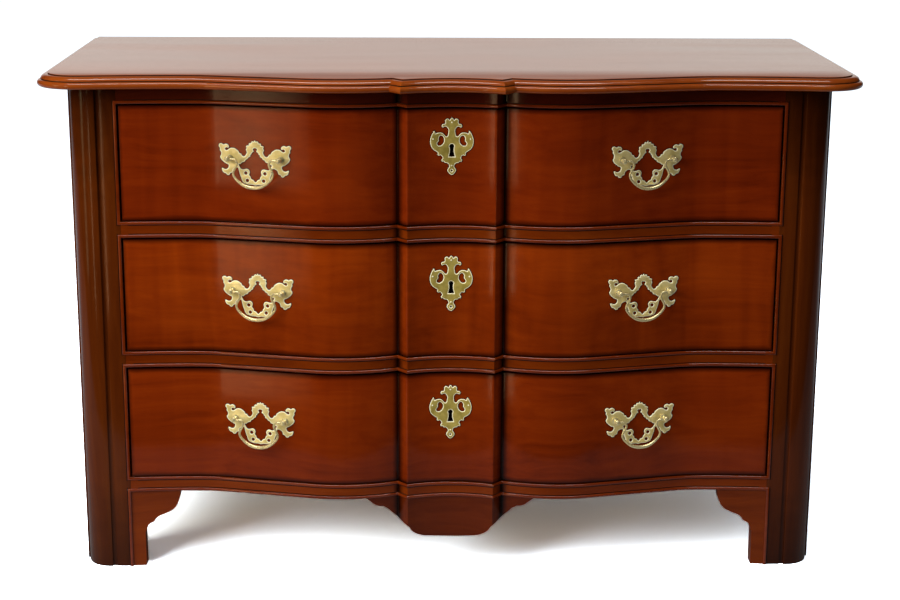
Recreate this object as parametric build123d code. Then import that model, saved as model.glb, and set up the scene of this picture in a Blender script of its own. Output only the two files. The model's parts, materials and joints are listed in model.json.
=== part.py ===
from build123d import *
import os
from math import acos, asin, atan2, cos, hypot, pi, sin, sqrt, tan

# Commode chest with a serpentine front: three long drawers, pierced brass plates and swinging bails.
# Millimetres, +Z up, the front faces -Y, +X to the viewer's right.
# The origin is the middle of the footprint on the floor.

os.makedirs("parts", exist_ok=True)

# Driving dimensions of the chest
overall_width = 1240.0
overall_depth = 565.0
overall_height = 786.0
base_height = 125.5
drawer_count = 3
rail_height = 25.0
bottom_rail_height = 24.0
frieze_height = 26.5

# Clearances
cut_overrun = 5.0
running_gap = 0.3
guide_gap = 0.8
drawer_side_reveal = 3.0
drawer_foot_reveal = 1.5
drawer_head_reveal = 2.5
leaf_gap = 0.2
pin_fit = 0.06
shank_fit = 0.2

# Top board and its moulded edge
top_thickness = 20.0
top_overhang = 40.0
top_back_overhang = 5.0
top_corner_radius = 62.0
top_kink_from_side = 75.0
moulding_width = 16.5
moulding_step = 2.0
ovolo_height = 7.5
moulding_root = 6.0
mitre_reach = 26.0
ovolo_run_share = 0.8
torus_turn_shares = (0, 0.25, 0.5, 0.75, 1)
ovolo_turn_shares = (0.5, 1)

# Serpentine plan of the front: distances forward of the posts' face, and shares of the openings' half width
lobe_swell = 37.0
lobe_place_share = 0.3386
hollow_setback = 5.0
hollow_place_share = 0.7869
swell_radius_share = 0.889
notch_swell = 18.0
notch_place_share = 0.1614
block_edge_swell = 35.0
block_edge_place_share = 0.1325
block_middle_swell = 22.4

# Posts and their rounded corners
post_width = 78.0
post_depth = 70.0
corner_radius = 38.0
corner_step = 3.5
corner_flat_width = 6.5
corner_flat_recess = 3.0
post_face_width = 26.0
foot_round = 2.5
rear_post_width = 50.0
rear_post_depth = 40.0

# Beads round the openings
bead_width = 5.0
bead_proud = 2.5
bead_root = 2.0
bead_bevel = 1.4

# Rails, side panels, back and inner frame
rail_depth = 60.0
tenon_length = 25.0
tenon_thickness = 12.0
tenon_shoulder = 4.0
tenon_setback = 24.0
panel_thickness = 16.0
panel_recess = 2.0
panel_foot = 96.0
panel_arch_rise = 22.0
tongue_length = 8.0
tongue_thickness = 6.0
back_thickness = 12.0
back_lap = 10.0
back_foot = 100.0
back_board_count = 3
rear_rail_height = 40.0
rear_rail_depth = 20.0
runner_width = 36.0
runner_thickness = 18.0
guide_height = 20.0
stop_width = 40.0
stop_depth = 20.0
stop_height = 6.0
stop_from_middle = 200.0
bottom_board_thickness = 10.0

# Base brackets and centre drop
base_recess = 1.0
bracket_thickness = 20.0
bracket_reach = 77.0
bracket_leg_width = 20.0
apron_half_width = 132.0
apron_drop = 67.0
apron_thickness_behind_posts = 6.0
block_depth = 22.0
block_height = 60.0
apron_block_height = 32.0
apron_block_half_width = 60.0

# Drawers
drawer_back_clearance = 1.5
front_thickness_at_posts = 21.0
drawer_side_thickness = 12.0
drawer_side_shortfall = 12.0
drawer_back_thickness = 10.0
drawer_bottom_thickness = 6.0
drawer_bottom_rise = 8.0
side_groove_depth = 5.0
front_groove_depth = 7.0
dovetail_count = 3
dovetail_lap = 14.0
dovetail_width_share = 0.62
dovetail_flare_share = 0.16

# Handles
handle_past_slope_middle = 12.0
handle_above_middle = 10.5
post_spacing = 80.0
leaf_thickness = 1.5
plate_half_width = 56.5
plate_crest = 28.0
plate_hole_radius = 2.3
head_standoff = 11.0
head_radius = 4.4
collar_radius = 5.2
collar_height = 1.6
neck_radius = 2.6
shank_radius = 2.4
nut_width = 10.0
nut_thickness = 4.0
nut_seat_depth = 17.0
nut_recess_width = 12.0
bail_pin_radius = 1.7
bail_grip_radius = 2.7
bail_drop = 42.5
bail_waist = 25.0
bail_half_width = 31.0
bail_elbow_radius = 4.0
bail_waist_drop = 8.0
bail_widest_drop = 22.0
bail_corner_radius = 12.0
pin_engagement = 3.0

# Escutcheons and locks
escutcheon_half_width = 32.5
escutcheon_rise = 43.0
escutcheon_below_top = 13.5
lower_escutcheon_drop = 6.0
keyhole_radius = 3.4
keyhole_waist = 5.2
keyhole_foot = 9.0
keyhole_length = 19.0
lock_half_width = 32.0
lock_height = 82.0
lock_depth = 12.0
keyway_depth = 4.0
bolt_half_width = 9.0
bolt_thickness = 5.0
bolt_length = 28.0
bolt_throw = 9.0
bolt_gap = 0.4
mortise_spare = 1.0

# Widths and levels that follow from the sizes
carcase_half_width = overall_width / 2 - top_overhang
opening_half_width = carcase_half_width - post_width
drawer_half_width = opening_half_width - drawer_side_reveal
panel_outer_x = carcase_half_width - panel_recess
panel_inner_x = panel_outer_x - panel_thickness
guide_x = drawer_half_width + guide_gap
runner_inner_x = opening_half_width - runner_width
under_top_z = overall_height - top_thickness
bottom_opening_z = base_height + bottom_rail_height
drawer_rails_height = (drawer_count - 1) * rail_height
opening_height = (under_top_z - frieze_height - drawer_rails_height - bottom_opening_z) / drawer_count
opening_pitch = opening_height + rail_height
drawer_height = opening_height - drawer_foot_reveal - drawer_head_reveal
drawer_side_height = drawer_height - drawer_side_shortfall


def block(x0, x1, y0, y1, z0, z1):
    """A straight block between two corners."""
    corner = Pos((x0 + x1) / 2, (y0 + y1) / 2, (z0 + z1) / 2)
    return corner * Box(abs(x1 - x0), abs(y1 - y0), abs(z1 - z0))


def both_sides(shape):
    """The shape and its mirror image in the chest's middle plane."""
    return [shape, mirror(shape, about=Plane.YZ)]


def write(name, shapes):
    """Writes one node: a list of solids, or one shape."""
    solids = []
    for shape in shapes if isinstance(shapes, list) else [shapes]:
        solids += list(shape.solids())
    export_step(solids[0] if len(solids) == 1 else Compound(children=solids), f"parts/{name}.step")


# Serpentine curve of the front, seen from the posts' face
lobe_from_middle = lobe_place_share * opening_half_width
hollow_from_middle = hollow_place_share * opening_half_width
notch_from_middle = notch_place_share * opening_half_width
block_edge_from_middle = block_edge_place_share * opening_half_width
block_sagitta = block_edge_swell - block_middle_swell
block_radius = (block_edge_from_middle**2 + block_sagitta**2) / (2 * block_sagitta)
step_run = notch_from_middle - block_edge_from_middle
step_fall = block_edge_swell - notch_swell
step_length = hypot(step_run, step_fall)
step_direction = (step_run / step_length, step_fall / step_length)
inner_run = lobe_from_middle - notch_from_middle
inner_fall = lobe_swell - notch_swell
inner_radius = (inner_run**2 + inner_fall**2) / (2 * inner_fall)
outer_run = opening_half_width - hollow_from_middle
corner_curve_radius = (outer_run**2 + hollow_setback**2) / (2 * hollow_setback)
swell_run = hollow_from_middle - lobe_from_middle
swell_radius = swell_radius_share * swell_run
swell_centres = 2 * swell_radius - lobe_swell - hollow_setback
slope_angle = atan2(swell_run, swell_centres) - acos(2 * swell_radius / hypot(swell_run, swell_centres))


def line_meets_circle(point, direction, centre, radius):
    """Crossing of a line and a circle that lies nearest the line's given point."""
    away = (point[0] - centre[0], point[1] - centre[1])
    along = away[0] * direction[0] + away[1] * direction[1]
    reach = sqrt(along**2 - away[0] ** 2 - away[1] ** 2 + radius**2)
    step = min(-along - reach, -along + reach, key=abs)
    return (point[0] + step * direction[0], point[1] + step * direction[1])


def block_edge(forward):
    """The middle block's right edge, moved forward by an equal distance, seen from the posts' face."""
    x = block_edge_from_middle + step_direction[1] * forward
    y = -block_edge_swell - step_direction[0] * forward
    centre = (0, -block_middle_swell - block_radius)
    return line_meets_circle((x, y), step_direction, centre, block_radius - forward)


# Depths that follow: the top reaches foremost at its lobes or at the edges of its block
front_reach = max(top_overhang + lobe_swell, -block_edge(top_overhang)[1])
face_y = front_reach - overall_depth / 2
block_centre = (0, face_y - block_middle_swell - block_radius)
inner_centre = (lobe_from_middle, face_y - lobe_swell + inner_radius)
carcase_back_y = overall_depth / 2 - top_back_overhang
post_back_y = face_y + post_depth
rail_back_y = face_y + rail_depth
rear_post_y = carcase_back_y - rear_post_depth
back_face_y = carcase_back_y - back_thickness
rear_rail_y = back_face_y - rear_rail_depth
front_inner_y = face_y + front_thickness_at_posts
drawer_back_y = rear_rail_y - drawer_back_clearance


def arc_about(centre, radius, start, end):
    """The short arc from start to end on a circle."""
    toward = ((start[0] + end[0]) / 2 - centre[0], (start[1] + end[1]) / 2 - centre[1])
    reach = hypot(*toward)
    middle = (centre[0] + radius * toward[0] / reach, centre[1] + radius * toward[1] / reach)
    return ThreePointArc(start, middle, end)


def front_curve(forward, half_width):
    """Edges of the right half of the front, moved forward by an equal distance, and its last point."""
    crown_centre = (lobe_from_middle, face_y - lobe_swell + swell_radius)
    hollow_centre = (hollow_from_middle, face_y + hollow_setback - swell_radius)
    corner_centre = (hollow_from_middle, face_y + hollow_setback - corner_curve_radius)
    edge_x, edge_reach = block_edge(forward)
    edge = (edge_x, face_y + edge_reach)
    notch = line_meets_circle(edge, step_direction, inner_centre, inner_radius + forward)
    middle = (0, block_centre[1] + block_radius - forward)
    peak = (lobe_from_middle, face_y - lobe_swell - forward)
    crown_reach = swell_radius + forward
    hollow_reach = swell_radius - forward
    crown_end = (
        crown_centre[0] + crown_reach * sin(slope_angle),
        crown_centre[1] - crown_reach * cos(slope_angle),
    )
    hollow_start = (
        hollow_centre[0] - hollow_reach * sin(slope_angle),
        hollow_centre[1] + hollow_reach * cos(slope_angle),
    )
    bottom = (hollow_from_middle, face_y + hollow_setback - forward)
    corner_reach = corner_curve_radius - forward
    end_run = half_width - hollow_from_middle
    end = (half_width, corner_centre[1] + sqrt(corner_reach**2 - end_run**2))
    edges = [
        arc_about(block_centre, block_radius - forward, middle, edge),
        Line(edge, notch),
        arc_about(inner_centre, inner_radius + forward, notch, peak),
        arc_about(crown_centre, crown_reach, peak, crown_end),
        Line(crown_end, hollow_start),
        arc_about(hollow_centre, hollow_reach, hollow_start, bottom),
        arc_about(corner_centre, corner_reach, bottom, end),
    ]
    return edges, end


def with_mirror(edges):
    """The edges and their mirror images in the middle plane."""
    return [part for edge in edges for shape in both_sides(edge) for part in shape.edges()]


def mirrored_face(edges, back_y):
    """A face closed by the edges, which run from the middle of the front to the back, and their mirror."""
    last = edges[-1] @ 1
    return make_face(with_mirror(edges + [Line(last, (0, back_y))]))


def front_runs(edges, forward):
    """The smooth runs of the front: the middle block with its steps, and the right lobe outward.

    Both run on past the notch between them, inside the piece, so that their mouldings meet there.
    """
    step = edges[1]
    notch, peak = step @ 1, edges[2] @ 1
    block_run = with_mirror([edges[0], Line(step @ 0, notch + (step % 0) * mitre_reach)])
    radius = inner_radius + forward
    start_x = notch.X - mitre_reach
    start = (start_x, inner_centre[1] - sqrt(radius**2 - (inner_centre[0] - start_x) ** 2))
    return block_run, [arc_about(inner_centre, radius, start, (peak.X, peak.Y))] + edges[3:]


def moulding(edges, forward, z0, points):
    """A faceted section swept along the front: each point's x runs out of the piece and y up."""
    face = make_face(Polyline(*points, close=True))
    block_run, lobe_run = front_runs(edges, forward)
    runs = []
    for run in (block_run, lobe_run):
        path = Pos(0, 0, z0) * Wire(run)
        start, along = path @ 0, path % 0
        side = -1 if along.X < 0 and start.X > 0 else 1
        outward = Vector(side * along.Y, -side * along.X, 0)
        plane = Plane(origin=start, x_dir=outward, z_dir=outward.cross(Vector(0, 0, 1)))
        runs.append(sweep(plane * face, path=path, transition=Transition.RIGHT))
    return runs[0] + both_sides(runs[1])


def front_region(forward, half_width, back_y):
    """Plan of a piece that follows the front, with a straight back."""
    edges, end = front_curve(forward, half_width)
    edges.append(Line(end, (half_width, back_y)))
    return mirrored_face(edges, back_y)


def front_layer(forward, half_width, back_y, z0, z1):
    """A level layer that follows the front."""
    return Pos(0, 0, z0) * extrude(front_region(forward, half_width, back_y), z1 - z0)


def slope_y(x):
    """Depth of the flat slope of a drawer's front at a distance from the middle."""
    start_x = lobe_from_middle + swell_radius * sin(slope_angle)
    start_y = face_y - lobe_swell + swell_radius * (1 - cos(slope_angle))
    return start_y + (x - start_x) * tan(slope_angle)


def outline_edges(origin, scale_x, scale_z, shares):
    """Lines and arcs through shares of a size: each point has the bulge of the edge that leads to it."""
    edges = []
    start = (origin[0] + shares[0][0] * scale_x, origin[1] + shares[0][1] * scale_z)
    for share_x, share_z, bulge in shares[1:]:
        end = (origin[0] + share_x * scale_x, origin[1] + share_z * scale_z)
        if bulge == 0:
            edges.append(Line(start, end))
        else:
            chord = (end[0] - start[0], end[1] - start[1])
            middle = ((start[0] + end[0]) / 2, (start[1] + end[1]) / 2)
            rise = bulge / 2
            middle = (middle[0] - chord[1] * rise, middle[1] + chord[0] * rise)
            edges.append(ThreePointArc(start, middle, end))
        start = end
    return edges


def bead_along_rail(z0):
    """A bevelled bead that follows the front, on the lower or upper edge of a rail."""
    edges, end = front_curve(0, opening_half_width + bead_width)
    points = [
        (-bead_root, 0),
        (0, 0),
        (bead_proud, bead_bevel),
        (bead_proud, bead_width - bead_bevel),
        (0, bead_width),
        (-bead_root, bead_width),
    ]
    half, deep = opening_half_width, overall_depth / 2
    return moulding(edges, 0, z0, points) & block(-half, half, -deep, deep, z0, z0 + bead_width)


def tenons(z0, z1):
    """The two tenons of a rail, which are also the posts' mortises."""
    y0 = face_y + tenon_setback
    inner = opening_half_width
    tenon = block(
        inner, inner + tenon_length, y0, y0 + tenon_thickness, z0 + tenon_shoulder, z1 - tenon_shoulder
    )
    return both_sides(tenon)


def front_rail(z0, z1, bead_above):
    """A serpentine rail with its beads and tenons."""
    rail = front_layer(0, opening_half_width, rail_back_y, z0, z1) + bead_along_rail(z0)
    if bead_above:
        rail = rail + bead_along_rail(z1 - bead_width)
    for tenon in tenons(z0, z1):
        rail = rail + tenon
    return rail


# Levels of the rails, from the base up
rail_levels = [(base_height, bottom_opening_z)]
for index in range(1, drawer_count):
    above = bottom_opening_z + index * opening_pitch
    rail_levels.append((above - rail_height, above))
rail_levels.append((under_top_z - frieze_height, under_top_z))
opening_levels = [
    (low, high) for low, high in [(rail[1], rail[1] + opening_height) for rail in rail_levels[:-1]]
]
lock_mortise_half_width = bolt_half_width + mortise_spare
lock_mortise_depth = bolt_throw - drawer_head_reveal + mortise_spare
bolt_y = front_inner_y - lock_depth / 2


def top_edges(inset):
    """Right half of the top board's outline, drawn in from its moulded edges by an equal distance."""
    half_width = overall_width / 2 - inset
    edges, kink = front_curve(top_overhang - inset, overall_width / 2 - top_kink_from_side)
    radius = top_corner_radius - inset
    start = (half_width - radius, kink[1])
    end = (half_width, kink[1] + radius)
    edges.append(Line(kink, start))
    edges.append(arc_about((start[0], end[1]), radius, start, end))
    edges.append(Line(end, (half_width, overall_depth / 2)))
    return edges


def top_board():
    """The top with its step, ovolo and torus moulded round the front and sides."""
    ovolo_top = top_thickness - moulding_step
    torus_height = ovolo_top - ovolo_height
    torus_radius = torus_height / 2
    ovolo_run = (moulding_width - torus_radius) * ovolo_run_share
    root = -moulding_width - moulding_root
    points = [(root, 0)]
    for share in torus_turn_shares:
        angle = share * pi
        points.append((torus_radius * (sin(angle) - 1), torus_radius * (1 - cos(angle))))
    for share in ovolo_turn_shares:
        angle = share * pi / 2
        points.append((-torus_radius - ovolo_run * (1 - cos(angle)), torus_height + ovolo_height * sin(angle)))
    points += [(-moulding_width, ovolo_top), (-moulding_width, top_thickness), (root, top_thickness)]
    core = extrude(mirrored_face(top_edges(moulding_width), overall_depth / 2), top_thickness)
    return Pos(0, 0, under_top_z) * core + moulding(top_edges(0), top_overhang, under_top_z, points)


def post_plan():
    """Plan of the right front post: inner face, flat face, fillet and large rounded corner."""
    face_end = opening_half_width + post_face_width
    flat_end = face_end + corner_flat_width
    centre = (carcase_half_width - corner_step - corner_radius, face_y - foot_round / 2 + corner_radius)
    roll_run = flat_end - centre[0]
    roll_start = (flat_end, centre[1] - sqrt(corner_radius**2 - roll_run**2))
    roll_end = (centre[0] + corner_radius, centre[1])
    points = [(opening_half_width, post_back_y), (opening_half_width, face_y), (face_end, face_y)]
    points += [(face_end, face_y + corner_flat_recess), (flat_end, face_y + corner_flat_recess), roll_start]
    edges = [Line(a, b) for a, b in zip(points, points[1:])]
    edges.append(arc_about(centre, corner_radius, roll_start, roll_end))
    outer = [roll_end, (carcase_half_width, centre[1]), (carcase_half_width, post_back_y), points[0]]
    edges += [Line(a, b) for a, b in zip(outer, outer[1:])]
    return make_face(edges)


def post_bead(z0, z1):
    """The bead on the post's inner arris beside one opening."""
    x0 = opening_half_width
    x1 = x0 + bead_width
    nose = face_y - bead_proud
    points = [(x0, face_y), (x0 + bead_bevel, nose), (x1 - bead_bevel, nose), (x1, face_y)]
    return Pos(0, 0, z0) * extrude(make_face(Polyline(*points, close=True)), z1 - z0)


def panel_tongue(y0, y1):
    """The side panel's tongue, which is also the post's groove."""
    x0 = (panel_inner_x + panel_outer_x - tongue_thickness) / 2
    return block(x0, x0 + tongue_thickness, y0, y1, panel_foot, under_top_z)


def front_post():
    """The right front post, which runs down to the floor as the foot."""
    post = extrude(post_plan(), under_top_z)
    spans = [(0, base_height + bead_width)]
    spans += [(low - bead_width, high + bead_width) for low, high in opening_levels]
    for low, high in spans:
        post += post_bead(low, high)
    for low, high in rail_levels:
        post -= tenons(low, high)[0]
    return post - panel_tongue(post_back_y - tongue_length, post_back_y)


def rear_post():
    """The right rear post, rebated for the back boards."""
    inner = carcase_half_width - rear_post_width
    post = block(inner, carcase_half_width, rear_post_y, carcase_back_y, 0, under_top_z)
    post -= block(inner, inner + back_lap, back_face_y, carcase_back_y, back_foot, under_top_z)
    return post - panel_tongue(rear_post_y, rear_post_y + tongue_length)


def side_panel():
    """The right side panel, tongued into both posts and arched below."""
    panel = block(panel_inner_x, panel_outer_x, post_back_y, rear_post_y, panel_foot, under_top_z)
    panel += panel_tongue(post_back_y - tongue_length, post_back_y)
    panel += panel_tongue(rear_post_y, rear_post_y + tongue_length)
    low, high = post_back_y, rear_post_y
    arch = ThreePointArc(
        (low, panel_foot), ((low + high) / 2, panel_foot + panel_arch_rise), (high, panel_foot)
    )
    hollow = make_face([arch, Line((high, panel_foot), (low, panel_foot))])
    cut = extrude(Plane.YZ.offset(panel_inner_x - cut_overrun) * hollow, panel_thickness + 2 * cut_overrun)
    return panel - cut


def back_boards():
    """Level boards nailed into the rear posts' rebates."""
    half = carcase_half_width - rear_post_width + back_lap
    height = (under_top_z - back_foot) / back_board_count
    boards = []
    for index in range(back_board_count):
        z0 = back_foot + index * height
        boards.append(block(-half, half, back_face_y, carcase_back_y, z0, z0 + height))
    return boards


def rear_rails():
    """Rails between the rear posts, at the top and at the bottom drawer's runners."""
    half = carcase_half_width - rear_post_width
    tops = [under_top_z, bottom_opening_z]
    return [block(-half, half, rear_rail_y, back_face_y, z - rear_rail_height, z) for z in tops]


def drawer_runners():
    """The right runners, one under each drawer's side."""
    return [
        block(runner_inner_x, opening_half_width, rail_back_y, rear_rail_y, low - runner_thickness, low)
        for low, high in opening_levels
    ]


def drawer_guides():
    """The right guides, which fill out to the panel and keep each drawer straight."""
    guides = []
    for low, high in opening_levels:
        top = low + guide_height
        filler = block(
            opening_half_width, panel_inner_x, post_back_y, rear_post_y, low - runner_thickness, top
        )
        guides.append(filler + block(guide_x, opening_half_width, post_back_y, rear_post_y, low, top))
    return guides


def drawer_kickers():
    """Bars over the top drawer's sides, which keep it level when it is drawn."""
    low = opening_levels[-1][1]
    bar = block(runner_inner_x, opening_half_width, rail_back_y, rear_rail_y, low, under_top_z)
    return both_sides(bar)


def drawer_stops():
    """Blocks glued on the rails, which stop each drawer flush with its beads."""
    stops = []
    y0 = front_inner_y + running_gap
    for low, high in opening_levels:
        x0 = stop_from_middle - stop_width / 2
        stops += both_sides(block(x0, x0 + stop_width, y0, y0 + stop_depth, low, low + stop_height))
    return stops


# Half outlines of the base, as shares of the bracket's reach and height and of the drop's half width and depth
bracket_shares = [
    (1, 0, 0), (0.785, -0.279, -0.24), (0.554, -0.339, 0), (0.454, -0.408, 0.16), (0.357, -0.438, 0),
    (0.286, -0.545, 0.26),
]
apron_shares = [
    (1, 0, 0), (0.792, -0.23, 0.165), (0.606, -0.579, -0.08), (0.492, -0.694, 0), (0.265, -0.976, 0.27),
    (0, -1, 0),
]


def base_bracket():
    """The right bracket: a leg beside the post, curved out under the bottom rail."""
    corner = (opening_half_width, base_height)
    edges = outline_edges(corner, -bracket_reach, base_height, bracket_shares)
    knee = edges[-1] @ 1
    leg_x = opening_half_width - bracket_leg_width
    points = [(knee.X, knee.Y), (leg_x, 0), (opening_half_width, 0), corner]
    points.append((opening_half_width - bracket_reach, base_height))
    edges += [Line(a, b) for a, b in zip(points, points[1:])]
    board = extrude(Plane.XZ.offset(overall_depth / 2) * make_face(edges), -overall_depth)
    back_y = face_y + hollow_setback + bracket_thickness
    return board & front_layer(-base_recess, opening_half_width, back_y, 0, base_height)


def centre_apron():
    """The shaped drop under the middle of the bottom rail, which follows the front."""
    edges = outline_edges((0, base_height), apron_half_width, apron_drop, apron_shares)
    edges = with_mirror(edges)
    edges.append(Line((-apron_half_width, base_height), (apron_half_width, base_height)))
    board = extrude(Plane.XZ.offset(overall_depth / 2) * make_face(edges), -overall_depth)
    back_y = face_y + apron_thickness_behind_posts
    return board & front_layer(-base_recess, opening_half_width, back_y, 0, base_height)


def glue_blocks():
    """Blocks behind the brackets and the drop, under the bottom rail."""
    back = face_y + hollow_setback + bracket_thickness
    leg_x = opening_half_width - bracket_leg_width
    blocks = both_sides(
        block(leg_x, opening_half_width, back, back + block_depth, base_height - block_height, base_height)
    )
    back = face_y + apron_thickness_behind_posts
    half = apron_block_half_width
    blocks.append(block(-half, half, back, back + block_depth, base_height - apron_block_height, base_height))
    return blocks


# Drawer joints
tail_z0_rise = drawer_bottom_rise + drawer_bottom_thickness
tail_pitch = (drawer_side_height - tail_z0_rise) / dovetail_count


def dovetails(root_y, length, side_z):
    """The right side's dovetails, from their root toward the drawer's front or back."""
    tails = None
    for index in range(dovetail_count):
        middle = side_z + tail_z0_rise + (index + 0.5) * tail_pitch
        root = tail_pitch * dovetail_width_share / 2
        end = root + tail_pitch * dovetail_flare_share / 2
        points = [(root_y, middle - root), (root_y, middle + root)]
        points += [(root_y + length, middle + end), (root_y + length, middle - end)]
        face = make_face(Polyline(*points, close=True))
        inner = drawer_half_width - drawer_side_thickness
        tail = extrude(Plane.YZ.offset(inner) * face, drawer_side_thickness)
        tails = tail if tails is None else tails + tail
    return tails


def drawer_bottom(side_z):
    """The bottom board, held in grooves and slid in under the back."""
    half = drawer_half_width - drawer_side_thickness + side_groove_depth
    z0 = side_z + drawer_bottom_rise
    y0 = front_inner_y - front_groove_depth
    return block(-half, half, y0, drawer_back_y, z0, z0 + drawer_bottom_thickness)


def drawer_side(side_z):
    """The right side, dovetailed at both ends and grooved for the bottom."""
    inner = drawer_half_width - drawer_side_thickness
    body_end = drawer_back_y - drawer_back_thickness
    side = block(inner, drawer_half_width, front_inner_y, body_end, side_z, side_z + drawer_side_height)
    side += dovetails(front_inner_y, -dovetail_lap, side_z)
    side += dovetails(body_end, drawer_back_thickness, side_z)
    side += block(inner, drawer_half_width, body_end, drawer_back_y, side_z, side_z + tail_z0_rise)
    return side - drawer_bottom(side_z)


def drawer_back(side_z):
    """The back, between the sides' rear dovetails and above the bottom board."""
    body_end = drawer_back_y - drawer_back_thickness
    low = side_z + tail_z0_rise
    back = block(
        -drawer_half_width, drawer_half_width, body_end, drawer_back_y, low, side_z + drawer_side_height
    )
    for tails in both_sides(dovetails(body_end, drawer_back_thickness, side_z)):
        back -= tails
    return back


# Handles, on the flat slope of the drawer's front
handle_from_middle = (lobe_from_middle + hollow_from_middle) / 2 + handle_past_slope_middle


def handle_plane(handle_z):
    """Local x runs along the slope, local y up and local z out of the drawer."""
    return Plane(
        origin=(handle_from_middle, slope_y(handle_from_middle), handle_z),
        x_dir=(cos(slope_angle), sin(slope_angle), 0),
        z_dir=(sin(slope_angle), -cos(slope_angle), 0),
    )


# Half outline of the plate, from the crest down to the foot, as shares of its half width and its crest
plate_shares = [
    (0, 1), (-0.13, 0.8), (-0.24, 0.64), (-0.215, 0.36), (-0.3, 0.1), (-0.39, 0.22), (-0.5, 0.44),
    (-0.63, 0.53), (-0.81, 0.42), (-0.73, 0.62), (-0.8, 0.74), (-0.93, 0.75), (-1, 0.6), (-0.94, 0.38),
    (-0.97, 0.1), (-0.88, -0.22), (-0.74, -0.4), (-0.78, -0.6), (-0.93, -0.6), (-0.93, -0.78),
    (-0.82, -0.9), (-0.69, -0.84), (-0.6, -0.58), (-0.48, -0.55), (-0.44, -0.85), (-0.36, -1.3),
    (-0.2, -1.42), (0, -1.46),
]
# Half outline of its middle opening, from the top down
opening_shares = [
    (0, 0.57), (-0.05, 0.47), (-0.04, 0.36), (-0.12, 0.12), (-0.29, -0.19), (-0.42, -0.3),
    (-0.42, -0.48), (-0.34, -0.66), (-0.16, -0.76), (-0.12, -1.04), (0, -1.29),
]
plate_hole_share_x = 0.27
plate_hole_share_z = -0.89
bore_sides = 6
round_sides = 8


def outline_face(scale_x, scale_z, shares):
    """A closed face from the shares of a half outline in straight lines, and its mirror."""
    points = [(share_x * scale_x, share_z * scale_z) for share_x, share_z in shares]
    points += [(-x, z) for x, z in reversed(points[1:-1])]
    return make_face(Polyline(*points, close=True))


def handle_plate(handle_z):
    """The pierced brass plate of the right handle."""
    face = outline_face(plate_half_width, plate_crest, plate_shares)
    face -= outline_face(plate_half_width, plate_crest, opening_shares)
    for side in (-1, 1):
        place = Pos(side * plate_hole_share_x * plate_half_width, plate_hole_share_z * plate_crest)
        face -= place * RegularPolygon(plate_hole_radius, bore_sides)
        bore = RegularPolygon(shank_radius + shank_fit, bore_sides, major_radius=False)
        face -= Pos(side * post_spacing / 2, 0) * bore
    return handle_plane(handle_z) * (Pos(0, 0, leaf_gap) * extrude(face, leaf_thickness))


plate_face_height = leaf_gap + leaf_thickness
head_height = plate_face_height + head_standoff
shank_length = nut_seat_depth + 2 * nut_thickness
head_shares = [(-0.9, 0.5), (-0.35, 1.02), (0.35, 1.02), (0.92, 0.42)]


def prism(radius, low, high):
    """A many-sided bar round the local axis."""
    return Pos(0, 0, low) * extrude(RegularPolygon(radius, bore_sides), high - low)


def polygon_ring(radius, sides, height):
    """Corners of a level regular polygon."""
    angles = [2 * pi * index / sides for index in range(sides)]
    return [(radius * cos(angle), radius * sin(angle), height) for angle in angles]


def faceted(rings):
    """A solid of flat triangles through rings of points, with flat ends."""
    polygons = [rings[0], rings[-1]]
    for ring, following in zip(rings, rings[1:]):
        for index, corner in enumerate(ring):
            after = (index + 1) % len(ring)
            polygons.append((corner, ring[after], following[after]))
            polygons.append((corner, following[after], following[index]))
    return Solid(Shell([Face(Wire.make_polygon(polygon)) for polygon in polygons]))


def handle_posts(handle_z):
    """The right handle's two posts, with their pierced heads, and the nuts behind the front."""
    rings = [
        polygon_ring(share * head_radius, round_sides, head_height + share_z * head_radius)
        for share_z, share in head_shares
    ]
    head = faceted(rings)
    head_foot = head_height + head_shares[0][0] * head_radius
    post = head + prism(neck_radius, plate_face_height + collar_height, head_foot)
    post += prism(collar_radius, plate_face_height, plate_face_height + collar_height)
    post += prism(shank_radius, -shank_length, plate_face_height)
    eye_length = head_radius + cut_overrun + pin_engagement
    eye = extrude(RegularPolygon(bail_pin_radius + pin_fit, bore_sides, major_radius=False), eye_length)
    nut = Box(nut_width, nut_width, nut_thickness, align=(Align.CENTER, Align.CENTER, Align.MAX))
    nut = Pos(0, 0, -nut_seat_depth) * nut - prism(shank_radius + pin_fit, -shank_length, 0)
    solids = []
    for side in (-1, 1):
        turned = Rot(0, -side * 90, 0) * eye
        pierced = post - Pos(side * (pin_engagement + running_gap), 0, head_height) * turned
        for solid in (pierced, nut):
            solids.append(handle_plane(handle_z) * (Pos(side * post_spacing / 2, 0) * solid))
    return solids


def handle_bores(handle_z):
    """Holes for the right handle's posts, recessed from behind for the nuts."""
    middle = Align.CENTER
    bore = prism(shank_radius + 2 * shank_fit, -drawer_height, lobe_swell)
    sink = Box(nut_recess_width, nut_recess_width, drawer_height, align=(middle, middle, Align.MAX))
    hole = bore + Pos(0, 0, -nut_seat_depth) * sink
    offset = Pos(post_spacing / 2, 0)
    return handle_plane(handle_z) * (offset * hole + offset.inverse() * hole)


# The bail hangs from its pins in a swan neck on each side and swells in the middle of the grip
grip_fall = bail_drop - bail_widest_drop
corner_run = bail_half_width - bail_corner_radius
grip_reach = corner_run**2 + grip_fall**2 - bail_corner_radius**2
grip_radius = grip_reach / (2 * (grip_fall - bail_corner_radius))
grip_angle = atan2(corner_run, grip_radius - grip_fall)
grip_shares = [0, 0.28, 0.56, 0.78, 1]


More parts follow.
